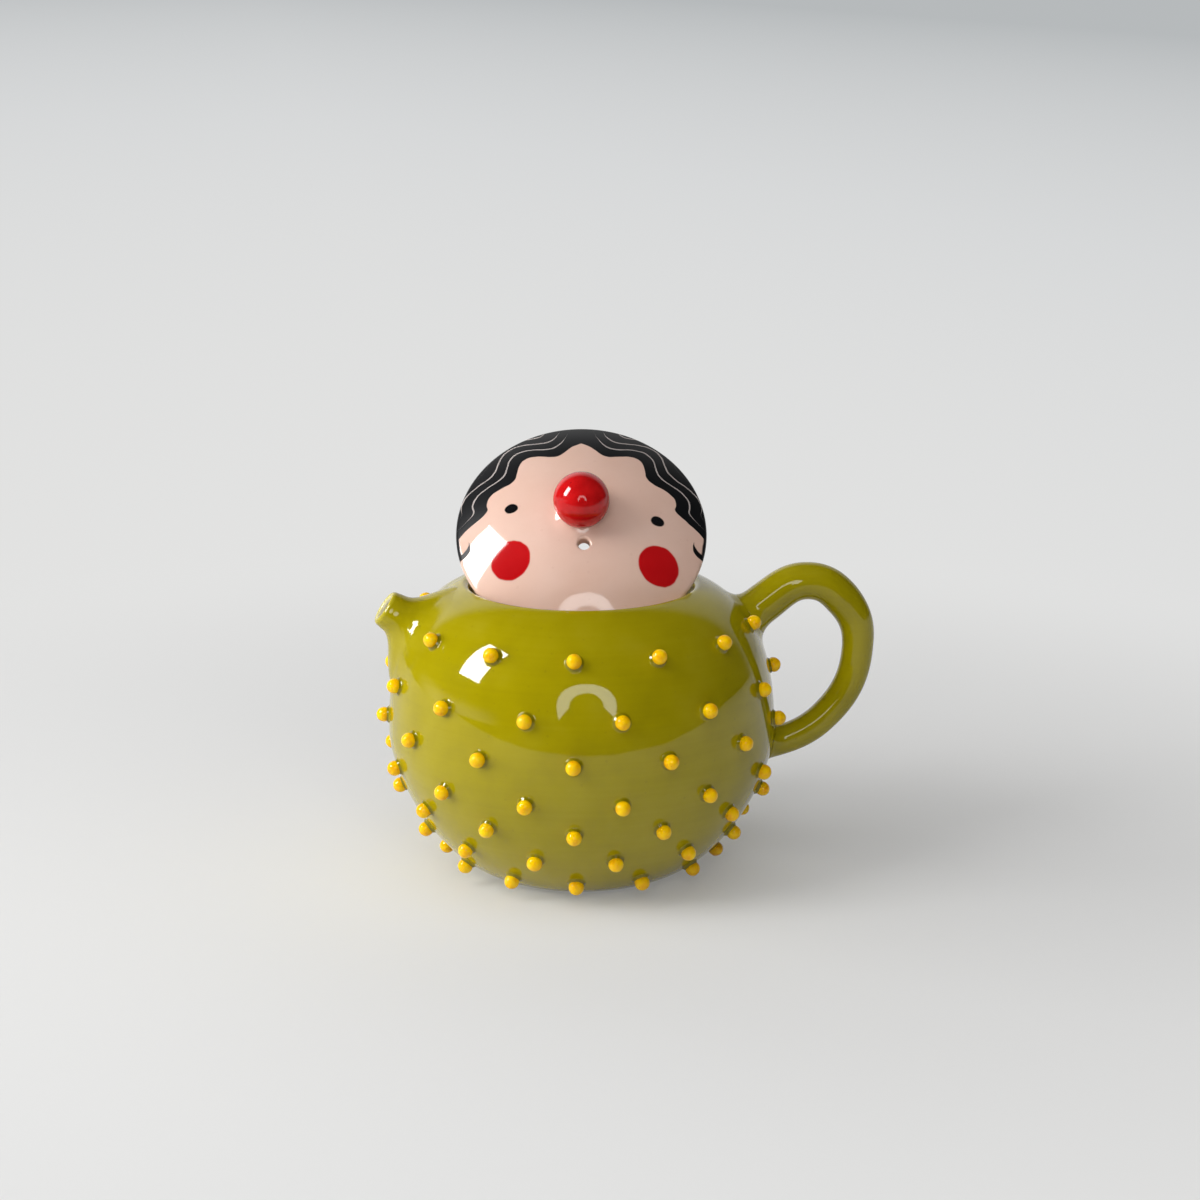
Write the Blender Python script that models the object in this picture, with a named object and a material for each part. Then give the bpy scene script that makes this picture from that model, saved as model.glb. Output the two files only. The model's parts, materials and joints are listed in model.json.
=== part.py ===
"""Face teapot of glazed ceramic, in metres with +Z up.

The pot stands on its flat base, whose centre is the origin. The spout points to -X and the handle
to +X. The loose lid carries the face. It stands tilted in the mouth and looks to -Y.
"""

import math

import bmesh
import bpy
from mathutils import Matrix, Vector
from mathutils.bvhtree import BVHTree
from mathutils.geometry import interpolate_bezier

for old in list(bpy.data.objects):
    bpy.data.objects.remove(old, do_unlink=True)

# Gaps between pieces
CLEARANCE = 0.0003
COLLAR_PLAY = 0.0008

# Pot body
BASE_RADIUS = 0.0258
BELLY_RADIUS = 0.0594
BELLY_HEIGHT = 0.0449
MOUTH_RADIUS = 0.0341
MOUTH_HEIGHT = 0.0902
WALL = 0.0040
FLOOR = 0.0050
BASE_SLOPE = math.radians(4.9)
SHOULDER_SLOPE = math.radians(21.5)
BASE_PULL = 0.0177
BELLY_PULL_DOWN = 0.0149
BELLY_PULL_UP = 0.0198
SHOULDER_PULL = 0.0197

# Spout: top and bottom lines in its upright plane, and its half width across that plane
SPOUT_TIP_DIAMETER = 0.0113
SPOUT_TIP_RISE = math.radians(34.6)
SPOUT_TIP_REACH = 0.0002
SPOUT_TIP_DROP = 0.0065
SPOUT_TIP_PULL = 0.0086
SPOUT_TOP_SINK = 0.0004
SPOUT_TOP_RISE = math.radians(6.0)
SPOUT_TOP_PULL = 0.0095
SPOUT_UNDER_RISE = math.radians(32.7)
SPOUT_UNDER_PULL = 0.0094
SPOUT_ROOT_LIFT = 0.0033
SPOUT_ROOT_DEPTH = 0.0065
SPOUT_ROOT_RISE = math.radians(50.5)
SPOUT_ROOT_PULL = 0.0191
SPOUT_ROOT_HALF_WIDTH = 0.0141
SPOUT_WALL = 0.0022
SPOUT_FLARE = 1.3

# Strainer holes in the wall behind the spout
STRAINER_HOLES = 6
STRAINER_HOLE_DIAMETER = 0.0036
STRAINER_PITCH_RADIUS = 0.0050

# Handle: coil diameters, and where its centre line runs beyond the belly
HANDLE_ROOT_DIAMETER = 0.0126
HANDLE_TOP_DIAMETER = 0.0116
HANDLE_GRIP_DIAMETER = 0.0098
HANDLE_TAIL_DIAMETER = 0.0094
HANDLE_REACH = 0.0271
HANDLE_TOP_REACH = 0.0106
HANDLE_TOP_DROP = 0.0019
HANDLE_SHOULDER_REACH = 0.0219
HANDLE_SHOULDER_DROP = 0.0079
HANDLE_GRIP_DROP = 0.0228
HANDLE_HEEL_REACH = 0.0166
HANDLE_HEEL_DROP = 0.0003
HANDLE_TAIL_DROP = 0.0119
HANDLE_ROOT_SINK = 0.0124
HANDLE_ROOT_DROP = 0.0180
HANDLE_NECK_SINK = 0.0029
HANDLE_NECK_DROP = 0.0086

# Lid
LID_OVERHANG = 0.0041
LID_DOME_RADIUS = 0.0664
LID_THICKNESS = 0.0040
LID_EDGE_RADIUS = 0.0016
COLLAR_WALL = 0.0030
COLLAR_DEPTH = 0.0060
KNOB_DIAMETER = 0.0170
KNOB_SINK = 0.0026
VENT_DIAMETER = 0.0036
VENT_DISTANCE = 0.0112
VENT_TURN = math.radians(4.0)

# How the loose lid stands in the mouth
LID_TILT = math.radians(44.8)
LID_TURN = math.radians(-7.0)
LID_SETBACK = 0.0020

# Beads
BEAD_DIAMETER = 0.0046
BEAD_SINK = 0.0007
BEADS_PER_ROW = 13
BEAD_FIRST_ANGLE = math.radians(-92.4)
BEAD_ROW_DROPS = (0.0193, 0.0365, 0.0491, 0.0618, 0.0723, 0.0841, 0.0968)
BEAD_HEADROOM = 0.0070
LOOSE_ROWS = 4

# Facets
TURN_STEPS = 36
CURVE_STEPS = 9
FINE_STEPS = 90
LIP_STEPS = 6
RING_STEPS = 16
LOFT_STEPS = 9
BEAD_STEPS = 8
HOLE_STEPS = 8
COIL_STEPS = 5
COIL_ROUND_STEPS = 2
LIP_SAMPLES = 360
SEAT_HALVINGS = 40
MERGE_DISTANCE = 1e-6
SHARP_ANGLE = math.radians(40)

GREEN_GLAZE = ((0.30, 0.34, 0.03), 0.12)
YELLOW_GLAZE = ((0.78, 0.42, 0.03), 0.12)
PINK_GLAZE = ((0.85, 0.62, 0.56), 0.15)
RED_GLAZE = ((0.62, 0.05, 0.04), 0.12)


def glaze(name, look):
    """Principled material of one glaze colour."""
    colour, roughness = look
    material = bpy.data.materials.new(name)
    material.use_nodes = True
    shader = material.node_tree.nodes["Principled BSDF"]
    shader.inputs["Base Color"].default_value = (*colour, 1.0)
    shader.inputs["Roughness"].default_value = roughness
    shader.inputs["Metallic"].default_value = 0.0
    return material


def mesh_from(bm, name):
    """Close a bmesh into a mesh with outward faces and soft shading."""
    bmesh.ops.remove_doubles(bm, verts=bm.verts, dist=MERGE_DISTANCE)
    bmesh.ops.recalc_face_normals(bm, faces=bm.faces)
    mesh = bpy.data.meshes.new(name)
    bm.to_mesh(mesh)
    bm.free()
    mesh.shade_smooth()
    mesh.set_sharp_from_angle(angle=SHARP_ANGLE)
    return mesh


def piece(name, mesh, look, parent=None):
    """Named object with its own glaze."""
    thing = bpy.data.objects.new(name, mesh)
    if look and not mesh.materials:
        mesh.materials.append(glaze(name + "_glaze", look))
    thing.parent = parent
    bpy.context.collection.objects.link(thing)
    return thing


def tool(name, mesh, parent=None):
    """Hidden shape that cuts or joins another piece."""
    thing = piece(name, mesh, None, parent)
    thing.hide_render = True
    thing.display_type = "WIRE"
    return thing


def boolean(thing, other, operation):
    """Cut a piece with a tool, or join the tool to it."""
    modifier = thing.modifiers.new(other.name, "BOOLEAN")
    modifier.operation = operation
    modifier.solver = "EXACT"
    modifier.object = other


def turned(name, outline, closed=False):
    """Turn an outline of (radius, height) points about Z."""
    bm = bmesh.new()
    verts = [bm.verts.new((p[0], 0.0, p[1])) for p in outline]
    edges = [bm.edges.new(pair) for pair in zip(verts, verts[1:])]
    if closed:
        edges.append(bm.edges.new((verts[-1], verts[0])))
    bmesh.ops.spin(
        bm, geom=verts + edges, cent=(0, 0, 0), axis=(0, 0, 1),
        angle=math.tau, steps=TURN_STEPS, use_merge=True,
    )
    return mesh_from(bm, name)


def lofted(name, rings):
    """Tube through rings of points, closed from the last ring back to the first."""
    bm = bmesh.new()
    loops = [[bm.verts.new(p) for p in ring] for ring in rings]
    count = len(rings[0])
    for near, far in zip(loops, loops[1:] + loops[:1]):
        for i in range(count):
            j = (i + 1) % count
            bm.faces.new((near[i], near[j], far[j], far[i]))
    return mesh_from(bm, name)


def curve_points(start, start_handle, end_handle, end, count=CURVE_STEPS):
    """Points along one cubic curve."""
    return interpolate_bezier(Vector(start), Vector(start_handle), Vector(end_handle), Vector(end), count)


def heading(angle):
    """Unit vector of the outline plane, at an angle above level."""
    return Vector((math.cos(angle), math.sin(angle)))


def arc(centre, radius, first, last, count):
    """Points along an arc of the outline plane."""
    return [centre + radius * heading(first + (last - first) * i / count) for i in range(count + 1)]


def normals(outline):
    """Outward normals of an outline that climbs on its outer side."""
    result = []
    for i in range(len(outline)):
        along = outline[min(i + 1, len(outline) - 1)] - outline[max(i - 1, 0)]
        result.append(Vector((along.y, -along.x)).normalized())
    return result


def body_outline(count=CURVE_STEPS):
    """Outer outline of the pot, from the base's edge up to the lip."""
    lip = lip_centre()
    shoulder = lip + heading(math.pi / 2 - SHOULDER_SLOPE) * WALL / 2
    shoulder_start = shoulder + heading(-SHOULDER_SLOPE) * SHOULDER_PULL
    base = Vector((BASE_RADIUS, 0.0))
    base_end = base + heading(BASE_SLOPE) * BASE_PULL
    belly = Vector((BELLY_RADIUS, BELLY_HEIGHT))
    rise = Vector((0.0, 1.0))
    lower = curve_points(base, base_end, belly - rise * BELLY_PULL_DOWN, belly, count)
    upper = curve_points(belly, belly + rise * BELLY_PULL_UP, shoulder_start, shoulder, count)
    return lower + upper[1:]


def lip_centre():
    """Centre of the round lip's section."""
    return Vector((MOUTH_RADIUS + WALL / 2, MOUTH_HEIGHT - WALL / 2))


def body_shell_mesh():
    """Hollow pot: outside, round lip, inside and floor."""
    outside = body_outline()
    inside = [p - n * WALL for p, n in zip(outside, normals(outside))]
    inside = [p for p in inside if p.y > FLOOR]
    first = math.pi / 2 - SHOULDER_SLOPE
    lip = arc(lip_centre(), WALL / 2, first, first + math.pi, LIP_STEPS)
    floor_edge = Vector((inside[0].x, FLOOR))
    outline = [Vector((0.0, 0.0))] + outside + lip[1:-1] + inside[::-1]
    outline += [floor_edge, Vector((0.0, FLOOR))]
    return turned("body_shell", outline)


def body_cutter_mesh():
    """Solid pot, one clearance larger, that trims what is luted onto the body."""
    outside = body_outline()
    grown = [p + n * CLEARANCE for p, n in zip(outside, normals(outside))]
    first = math.pi / 2 - SHOULDER_SLOPE
    crest = arc(lip_centre(), WALL / 2 + CLEARANCE, first, math.pi / 2, LIP_STEPS // 2)
    below = -CLEARANCE
    outline = [Vector((0.0, below)), Vector((BASE_RADIUS, below))] + grown + crest[1:]
    outline.append(Vector((0.0, crest[-1].y)))
    return turned("body_cutter", outline)


def spout_lines():
    """Top and bottom lines of the spout, as (distance from the axis, height) points."""
    tip_middle = Vector((BELLY_RADIUS + SPOUT_TIP_REACH, MOUTH_HEIGHT - SPOUT_TIP_DROP))
    across = heading(SPOUT_TIP_RISE + math.pi / 2)
    outward = heading(SPOUT_TIP_RISE)
    top_tip = tip_middle + across * SPOUT_TIP_DIAMETER / 2
    bottom_tip = tip_middle - across * SPOUT_TIP_DIAMETER / 2
    top_root = Vector((MOUTH_RADIUS, MOUTH_HEIGHT - SPOUT_TOP_SINK))
    bottom_root = Vector((BELLY_RADIUS - SPOUT_ROOT_DEPTH, BELLY_HEIGHT + SPOUT_ROOT_LIFT))
    top_start = top_root + heading(SPOUT_TOP_RISE) * SPOUT_TOP_PULL
    top_end = top_tip - outward * SPOUT_TIP_PULL
    top = curve_points(top_root, top_start, top_end, top_tip, LOFT_STEPS)
    bottom_start = bottom_root + heading(SPOUT_ROOT_RISE) * SPOUT_ROOT_PULL
    bottom_end = bottom_tip - heading(SPOUT_UNDER_RISE) * SPOUT_UNDER_PULL
    bottom = curve_points(bottom_root, bottom_start, bottom_end, bottom_tip, LOFT_STEPS)
    return top, bottom


def spout_ring(top, bottom, half_width, inset, push=0.0):
    """One oval section of the spout, inset for the bore or pushed out for the lip."""
    middle = (top + bottom) / 2
    across = (top - bottom).normalized()
    tall = (top - bottom).length / 2 - inset
    wide = half_width - inset
    outward = Vector((across.y, -across.x))
    ring = []
    for i in range(RING_STEPS):
        angle = math.tau * i / RING_STEPS
        point = middle + across * tall * math.cos(angle) + outward * push
        ring.append((-point.x, wide * math.sin(angle), point.y))
    return ring


def spout_mesh():
    """Hollow spout with a round lip, running on into the body where it is trimmed."""
    tops, bottoms = spout_lines()
    tip_half = SPOUT_TIP_DIAMETER / 2
    sections = []
    for i, (top, bottom) in enumerate(zip(tops, bottoms)):
        left = 1.0 - i / (LOFT_STEPS - 1)
        half_width = tip_half + (SPOUT_ROOT_HALF_WIDTH - tip_half) * left ** SPOUT_FLARE
        sections.append((top, bottom, half_width))
    rings = [spout_ring(*section, 0.0) for section in sections]
    rings.append(spout_ring(*sections[-1], SPOUT_WALL / 2, SPOUT_WALL / 2))
    rings += [spout_ring(*section, SPOUT_WALL) for section in sections[::-1]]
    return lofted("spout", rings)


def strainer_mesh():
    """Drill for the strainer: one hole in the middle of a ring of holes."""
    tops, bottoms = spout_lines()
    middles = [(top + bottom) / 2 for top, bottom in zip(tops, bottoms)]
    outline = body_outline()
    centre = min(middles, key=lambda m: min((m - p).length for p in outline))
    target = min(outline, key=lambda p: (p - centre).length)
    nearest = outline.index(target)
    outward = normals(outline)[nearest]
    axis = Vector((-outward.x, 0.0, outward.y))
    facing = axis.to_track_quat("Z", "Y").to_matrix().to_4x4()
    frame = Matrix.Translation((-target.x, 0.0, target.y)) @ facing
    spots = [Vector((0.0, 0.0, 0.0))]
    for i in range(STRAINER_HOLES):
        angle = math.tau * i / STRAINER_HOLES
        spots.append(STRAINER_PITCH_RADIUS * Vector((math.cos(angle), math.sin(angle), 0.0)))
    bm = bmesh.new()
    for spot in spots:
        bmesh.ops.create_cone(
            bm, cap_ends=True, segments=HOLE_STEPS, radius1=STRAINER_HOLE_DIAMETER / 2,
            radius2=STRAINER_HOLE_DIAMETER / 2, depth=4 * WALL,
            matrix=frame @ Matrix.Translation(spot),
        )
    return mesh_from(bm, "strainer_drill")


def handle_mesh():
    """Ear-shaped coil that swells at its upper root, running on into the body where it is trimmed."""
    stations = (
        (-HANDLE_ROOT_SINK, MOUTH_HEIGHT - HANDLE_ROOT_DROP, HANDLE_ROOT_DIAMETER),
        (-HANDLE_NECK_SINK, MOUTH_HEIGHT - HANDLE_NECK_DROP, HANDLE_ROOT_DIAMETER),
        (HANDLE_TOP_REACH, MOUTH_HEIGHT - HANDLE_TOP_DROP, HANDLE_TOP_DIAMETER),
        (HANDLE_SHOULDER_REACH, MOUTH_HEIGHT - HANDLE_SHOULDER_DROP, HANDLE_TOP_DIAMETER),
        (HANDLE_REACH, MOUTH_HEIGHT - HANDLE_GRIP_DROP, HANDLE_GRIP_DIAMETER),
        (HANDLE_HEEL_REACH, BELLY_HEIGHT - HANDLE_HEEL_DROP, HANDLE_TAIL_DIAMETER),
        (-HANDLE_ROOT_SINK, BELLY_HEIGHT - HANDLE_TAIL_DROP, HANDLE_TAIL_DIAMETER),
    )
    curve = bpy.data.curves.new("handle_line", "CURVE")
    curve.dimensions = "3D"
    curve.bevel_depth = HANDLE_GRIP_DIAMETER / 2
    curve.bevel_resolution = COIL_ROUND_STEPS
    curve.resolution_u = COIL_STEPS
    curve.use_fill_caps = True
    spline = curve.splines.new("BEZIER")
    spline.bezier_points.add(len(stations) - 1)
    for point, (reach, height, diameter) in zip(spline.bezier_points, stations):
        point.co = (BELLY_RADIUS + reach, 0.0, height)
        point.handle_left_type = "AUTO"
        point.handle_right_type = "AUTO"
        point.radius = diameter / HANDLE_GRIP_DIAMETER
    line = bpy.data.objects.new("handle_line", curve)
    bpy.context.collection.objects.link(line)
    bpy.context.view_layer.update()
    coil = bpy.data.meshes.new_from_object(line.evaluated_get(bpy.context.evaluated_depsgraph_get()))
    bpy.data.objects.remove(line, do_unlink=True)
    bm = bmesh.new()
    bm.from_mesh(coil)
    bpy.data.meshes.remove(coil)
    return mesh_from(bm, "handle")


def lid_edge_centre():
    """Radius of the circle round which the lid's edge is rounded, in the lid's rim plane."""
    return MOUTH_RADIUS + LID_OVERHANG - LID_EDGE_RADIUS


def dome_centre():
    """Height of the dome's centre below the rim plane."""
    return -math.sqrt((LID_DOME_RADIUS - LID_EDGE_RADIUS) ** 2 - lid_edge_centre() ** 2)


def cap(radius, reach, count):
    """Arc of a ball round the dome's centre, from its top out to a reach from the axis."""
    last = math.acos(reach / radius)
    return arc(Vector((0.0, dome_centre())), radius, math.pi / 2, last, count)


def collar_radius():
    """Outer radius of the flange, which slips into the mouth."""
    return MOUTH_RADIUS - COLLAR_PLAY


def lid_dome_mesh():
    """Dome with a rounded edge, a flat seat and a hollow underside."""
    edge = Vector((lid_edge_centre(), 0.0))
    lean = math.acos(lid_edge_centre() / (LID_DOME_RADIUS - LID_EDGE_RADIUS))
    outside = cap(LID_DOME_RADIUS, LID_DOME_RADIUS * math.cos(lean), CURVE_STEPS)
    rim = arc(edge, LID_EDGE_RADIUS, lean, -math.pi / 2, LIP_STEPS)
    hollow = collar_radius() - COLLAR_WALL
    inside = cap(LID_DOME_RADIUS - LID_THICKNESS, hollow, CURVE_STEPS - 2)
    seat = Vector((hollow, -LID_EDGE_RADIUS))
    return turned("lid_dome", outside + rim[1:] + [seat] + inside[::-1])


def lid_collar_mesh():
    """Flange under the lid's seat."""
    top = -LID_EDGE_RADIUS - CLEARANCE
    outer = collar_radius()
    inner = outer - COLLAR_WALL
    corners = ((outer, top), (inner, top), (inner, top - COLLAR_DEPTH), (outer, top - COLLAR_DEPTH))
    return turned("lid_collar", corners, closed=True)


def knob_mesh():
    """Ball seated on the dome, one clearance above it."""
    ball = KNOB_DIAMETER / 2
    seat = LID_DOME_RADIUS + CLEARANCE
    middle = LID_DOME_RADIUS + ball - KNOB_SINK
    ring = (middle ** 2 + seat ** 2 - ball ** 2) / (2 * middle)
    reach = math.sqrt(seat ** 2 - ring ** 2)
    last = math.atan2(ring - middle, reach)
    centre = Vector((0.0, dome_centre() + middle))
    outline = arc(centre, ball, math.pi / 2, last, CURVE_STEPS)
    outline += cap(seat, reach, 2)[::-1][1:]
    return turned("nose_knob", outline)


def vent_mesh():
    """Drill for the vent, square to the dome."""
    angle = VENT_DISTANCE / LID_DOME_RADIUS
    lean = Matrix.Rotation(VENT_TURN, 4, "Z") @ Matrix.Rotation(angle, 4, "X")
    frame = Matrix.Translation((0.0, 0.0, dome_centre())) @ lean
    bm = bmesh.new()
    bmesh.ops.create_cone(
        bm, cap_ends=True, segments=RING_STEPS, radius1=VENT_DIAMETER / 2, radius2=VENT_DIAMETER / 2,
        depth=4 * LID_THICKNESS, matrix=frame @ Matrix.Translation((0.0, 0.0, LID_DOME_RADIUS)),
    )
    return mesh_from(bm, "vent_drill")


def lid_matrix(height):
    """Place of the lid's rim plane for a given height of its centre."""
    turn = Matrix.Rotation(LID_TURN, 4, "Z")
    tilt = Matrix.Rotation(LID_TILT, 4, "X")
    return turn @ Matrix.Translation((0.0, LID_SETBACK, height)) @ tilt


def lid_gap(height):
    """Least gap between the lid's round edge and the pot's round lip."""
    place = lid_matrix(height)
    lip = lip_centre()
    least = math.inf
    for i in range(LIP_SAMPLES):
        angle = math.tau * i / LIP_SAMPLES
        edge = place @ (lid_edge_centre() * Vector((math.cos(angle), math.sin(angle), 0.0)))
        across = Vector((math.hypot(edge.x, edge.y), edge.z)) - lip
        least = min(least, across.length)
    return least - WALL / 2 - LID_EDGE_RADIUS


def lid_height():
    """Height at which the tilted lid, let down into the mouth, meets the lip on both sides."""
    low = lip_centre().y
    high = low + lid_edge_centre() * math.sin(LID_TILT)
    for _ in range(SEAT_HALVINGS):
        middle = (low + high) / 2
        if lid_gap(middle) > CLEARANCE:
            high = middle
        else:
            low = middle
    return high


def bead_mesh(name):
    """Ball with a flat seat."""
    bm = bmesh.new()
    ball = BEAD_DIAMETER / 2
    bmesh.ops.create_uvsphere(bm, u_segments=BEAD_STEPS, v_segments=BEAD_STEPS // 2 + 1, radius=ball)
    seat = (0.0, 0.0, BEAD_SINK + CLEARANCE - ball)
    everything = bm.verts[:] + bm.edges[:] + bm.faces[:]
    bmesh.ops.bisect_plane(bm, geom=everything, plane_co=seat, plane_no=(0, 0, 1), clear_inner=True)
    bmesh.ops.holes_fill(bm, edges=bm.edges)
    return mesh_from(bm, name)


def bead_rows():
    """Rows of bead places, top row first: each place has its ball's centre and faces outward."""
    outline = body_outline(FINE_STEPS)[::-1]
    outward = normals(outline[::-1])[::-1]
    runs = [0.0]
    for upper, lower in zip(outline, outline[1:]):
        runs.append(runs[-1] + (upper - lower).length)
    rows = []
    for row, drop in enumerate(BEAD_ROW_DROPS):
        nearest = min(range(len(runs)), key=lambda i: abs(runs[i] - drop))
        rows.append(bead_row(outline[nearest], outward[nearest], row))
    return rows


def bead_row(point, outward, row):
    """Ring of bead places at one point of the outline, staggered on every second row."""
    middle = point + outward * (BEAD_DIAMETER / 2 - BEAD_SINK)
    step = math.tau / BEADS_PER_ROW
    places = []
    for i in range(BEADS_PER_ROW):
        spin = Matrix.Rotation(BEAD_FIRST_ANGLE + step * (i + 0.5 * (row % 2)), 4, "Z")
        facing = Vector((0.0, -outward.x, outward.y)).to_track_quat("Z", "Y").to_matrix().to_4x4()
        places.append(spin @ Matrix.Translation((0.0, -middle.x, middle.y)) @ facing)
    return places


def clear_of(place, trees):
    """Whether a bead at this place is clear of the luted pieces and not close under one."""
    centre = place.translation
    upward = Vector((0.0, 0.0, 1.0))
    reach = BEAD_DIAMETER / 2 + CLEARANCE
    for tree in trees:
        if tree.find_nearest(centre)[3] < reach or tree.ray_cast(centre, upward, BEAD_HEADROOM)[0]:
            return False
    return True


def build_pot():
    """Shell, spout and handle. Returns the shell and what is luted to it."""
    shell = piece("body_shell", body_shell_mesh(), GREEN_GLAZE)
    cutter = tool("body_cutter", body_cutter_mesh())
    boolean(shell, tool("strainer_drill", strainer_mesh()), "DIFFERENCE")
    spout = piece("spout", spout_mesh(), GREEN_GLAZE)
    handle = piece("handle", handle_mesh(), GREEN_GLAZE)
    for luted in (spout, handle):
        boolean(luted, cutter, "DIFFERENCE")
    return shell, (spout, handle)


def build_lid():
    """Dome, flange and knob on an empty that stands in the mouth."""
    seat = bpy.data.objects.new("lid_seat", None)
    bpy.context.collection.objects.link(seat)
    seat.matrix_world = lid_matrix(lid_height())
    dome = piece("lid_dome", lid_dome_mesh(), PINK_GLAZE, seat)
    boolean(dome, tool("vent_drill", vent_mesh(), seat), "DIFFERENCE")
    piece("lid_collar", lid_collar_mesh(), PINK_GLAZE, seat)
    piece("nose_knob", knob_mesh(), RED_GLAZE, seat)


def build_beads(shell, luted):
    """Upper rows as loose beads, lower rows joined to the shell."""
    bpy.context.view_layer.update()
    graph = bpy.context.evaluated_depsgraph_get()
    trees = [BVHTree.FromObject(thing, graph) for thing in luted]
    bead = bead_mesh("bead")
    joined = bmesh.new()
    for number, places in enumerate(bead_rows(), 1):
        for i, place in enumerate(places, 1):
            if not clear_of(place, trees):
                continue
            if number <= LOOSE_ROWS:
                thing = piece(f"bead_row{number}_{i:02d}", bead, YELLOW_GLAZE)
                thing.matrix_world = place
            else:
                bmesh.ops.create_uvsphere(
                    joined, u_segments=BEAD_STEPS, v_segments=BEAD_STEPS // 2,
                    radius=BEAD_DIAMETER / 2, matrix=place,
                )
    boolean(shell, tool("lower_beads", mesh_from(joined, "lower_beads")), "UNION")


def main():
    shell, luted = build_pot()
    build_lid()
    build_beads(shell, luted)


main()
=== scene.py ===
"""Looks of the face teapot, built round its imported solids, in metres with +Z up.

The spout points to -X, the handle to +X, and the face on the loose lid looks to -Y.
"""

import json
import math

import bmesh
import bpy
from mathutils import Matrix, Vector, noise
from mathutils.bvhtree import BVHTree
from mathutils.geometry import interpolate_bezier

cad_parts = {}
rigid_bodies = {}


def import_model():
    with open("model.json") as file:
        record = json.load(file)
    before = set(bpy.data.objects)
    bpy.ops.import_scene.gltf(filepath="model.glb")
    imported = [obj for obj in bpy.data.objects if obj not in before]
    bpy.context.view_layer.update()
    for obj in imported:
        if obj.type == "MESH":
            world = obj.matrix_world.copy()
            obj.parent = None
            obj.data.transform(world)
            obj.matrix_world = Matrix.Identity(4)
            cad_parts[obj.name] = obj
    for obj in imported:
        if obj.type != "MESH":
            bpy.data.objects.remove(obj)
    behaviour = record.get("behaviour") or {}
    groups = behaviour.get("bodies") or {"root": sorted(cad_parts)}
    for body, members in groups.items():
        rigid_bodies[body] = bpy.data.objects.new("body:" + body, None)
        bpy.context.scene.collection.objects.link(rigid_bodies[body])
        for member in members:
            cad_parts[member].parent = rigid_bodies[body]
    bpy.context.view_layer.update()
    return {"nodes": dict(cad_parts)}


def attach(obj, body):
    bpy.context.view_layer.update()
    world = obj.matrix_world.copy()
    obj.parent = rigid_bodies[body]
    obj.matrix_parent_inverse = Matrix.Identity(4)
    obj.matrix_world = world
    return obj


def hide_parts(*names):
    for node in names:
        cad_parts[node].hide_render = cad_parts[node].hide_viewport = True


for old in list(bpy.data.objects):
    bpy.data.objects.remove(old, do_unlink=True)

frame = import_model()

# Pot body
BASE_RADIUS = 0.0258
BELLY_RADIUS = 0.0594
BELLY_HEIGHT = 0.0449
MOUTH_RADIUS = 0.0341
MOUTH_HEIGHT = 0.0902
WALL = 0.0040
FLOOR = 0.0050
BASE_SLOPE = math.radians(4.9)
SHOULDER_SLOPE = math.radians(21.5)
BASE_PULL = 0.0177
BELLY_PULL_DOWN = 0.0149
BELLY_PULL_UP = 0.0198
SHOULDER_PULL = 0.0197

# Spout
SPOUT_TIP_DIAMETER = 0.0113
SPOUT_TIP_RISE = math.radians(34.6)
SPOUT_TIP_REACH = 0.0002
SPOUT_TIP_DROP = 0.0065
SPOUT_TIP_PULL = 0.0086
SPOUT_TOP_SINK = 0.0004
SPOUT_TOP_RISE = math.radians(6.0)
SPOUT_TOP_PULL = 0.0095
SPOUT_UNDER_RISE = math.radians(32.7)
SPOUT_UNDER_PULL = 0.0094
SPOUT_ROOT_LIFT = 0.0033
SPOUT_ROOT_DEPTH = 0.0065
SPOUT_ROOT_RISE = math.radians(50.5)
SPOUT_ROOT_PULL = 0.0191
SPOUT_ROOT_HALF_WIDTH = 0.0141
SPOUT_WALL = 0.0022
SPOUT_FLARE = 1.3
SPOUT_FLOW = 0.0120

# Strainer holes in the wall behind the spout
STRAINER_HOLES = 6
STRAINER_HOLE_DIAMETER = 0.0036
STRAINER_PITCH_RADIUS = 0.0050

# Handle: (reach beyond the belly, height, coil diameter) along its centre line
HANDLE_GRIP_DIAMETER = 0.0098
HANDLE_STATIONS = (
    (-0.0124, MOUTH_HEIGHT - 0.0180, 0.0126),
    (-0.0029, MOUTH_HEIGHT - 0.0086, 0.0126),
    (0.0106, MOUTH_HEIGHT - 0.0019, 0.0116),
    (0.0219, MOUTH_HEIGHT - 0.0079, 0.0116),
    (0.0271, MOUTH_HEIGHT - 0.0228, HANDLE_GRIP_DIAMETER),
    (0.0166, BELLY_HEIGHT - 0.0003, 0.0094),
    (-0.0124, BELLY_HEIGHT - 0.0119, 0.0094),
)
HANDLE_FLOW = 0.0050

# How deep the spout and the handle run on into the wall
ROOT_DEPTH = 0.0015

# Flow of two surfaces into one: how far each runs on under the other, how far the spout is kept
# off the wall beside the lip, how the flow widens with the turn between them, and search rounds
FLOW_OVERLAP = 0.0032
LIP_SINK = 0.00025
FLOW_TURN = 1.4
FLOW_ROUNDS = 4

# Lid
LID_OVERHANG = 0.0041
LID_DOME_RADIUS = 0.0664
LID_THICKNESS = 0.0040
LID_EDGE_RADIUS = 0.0016
COLLAR_PLAY = 0.0008
COLLAR_WALL = 0.0030
COLLAR_DEPTH = 0.0060
COLLAR_EDGE_RADIUS = 0.0010
KNOB_DIAMETER = 0.0170
KNOB_SINK = 0.0026
KNOB_UNEVENNESS = 0.006
KNOB_NOISE_SCALE = 1.3
VENT_DIAMETER = 0.0036
VENT_DISTANCE = 0.0112
VENT_TURN = math.radians(4.0)
VENT_EDGE_RADIUS = 0.0008
LID_TILT = math.radians(44.8)
LID_TURN = math.radians(-7.0)
LID_SETBACK = 0.0020
LID_GAP = 0.0003

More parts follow.
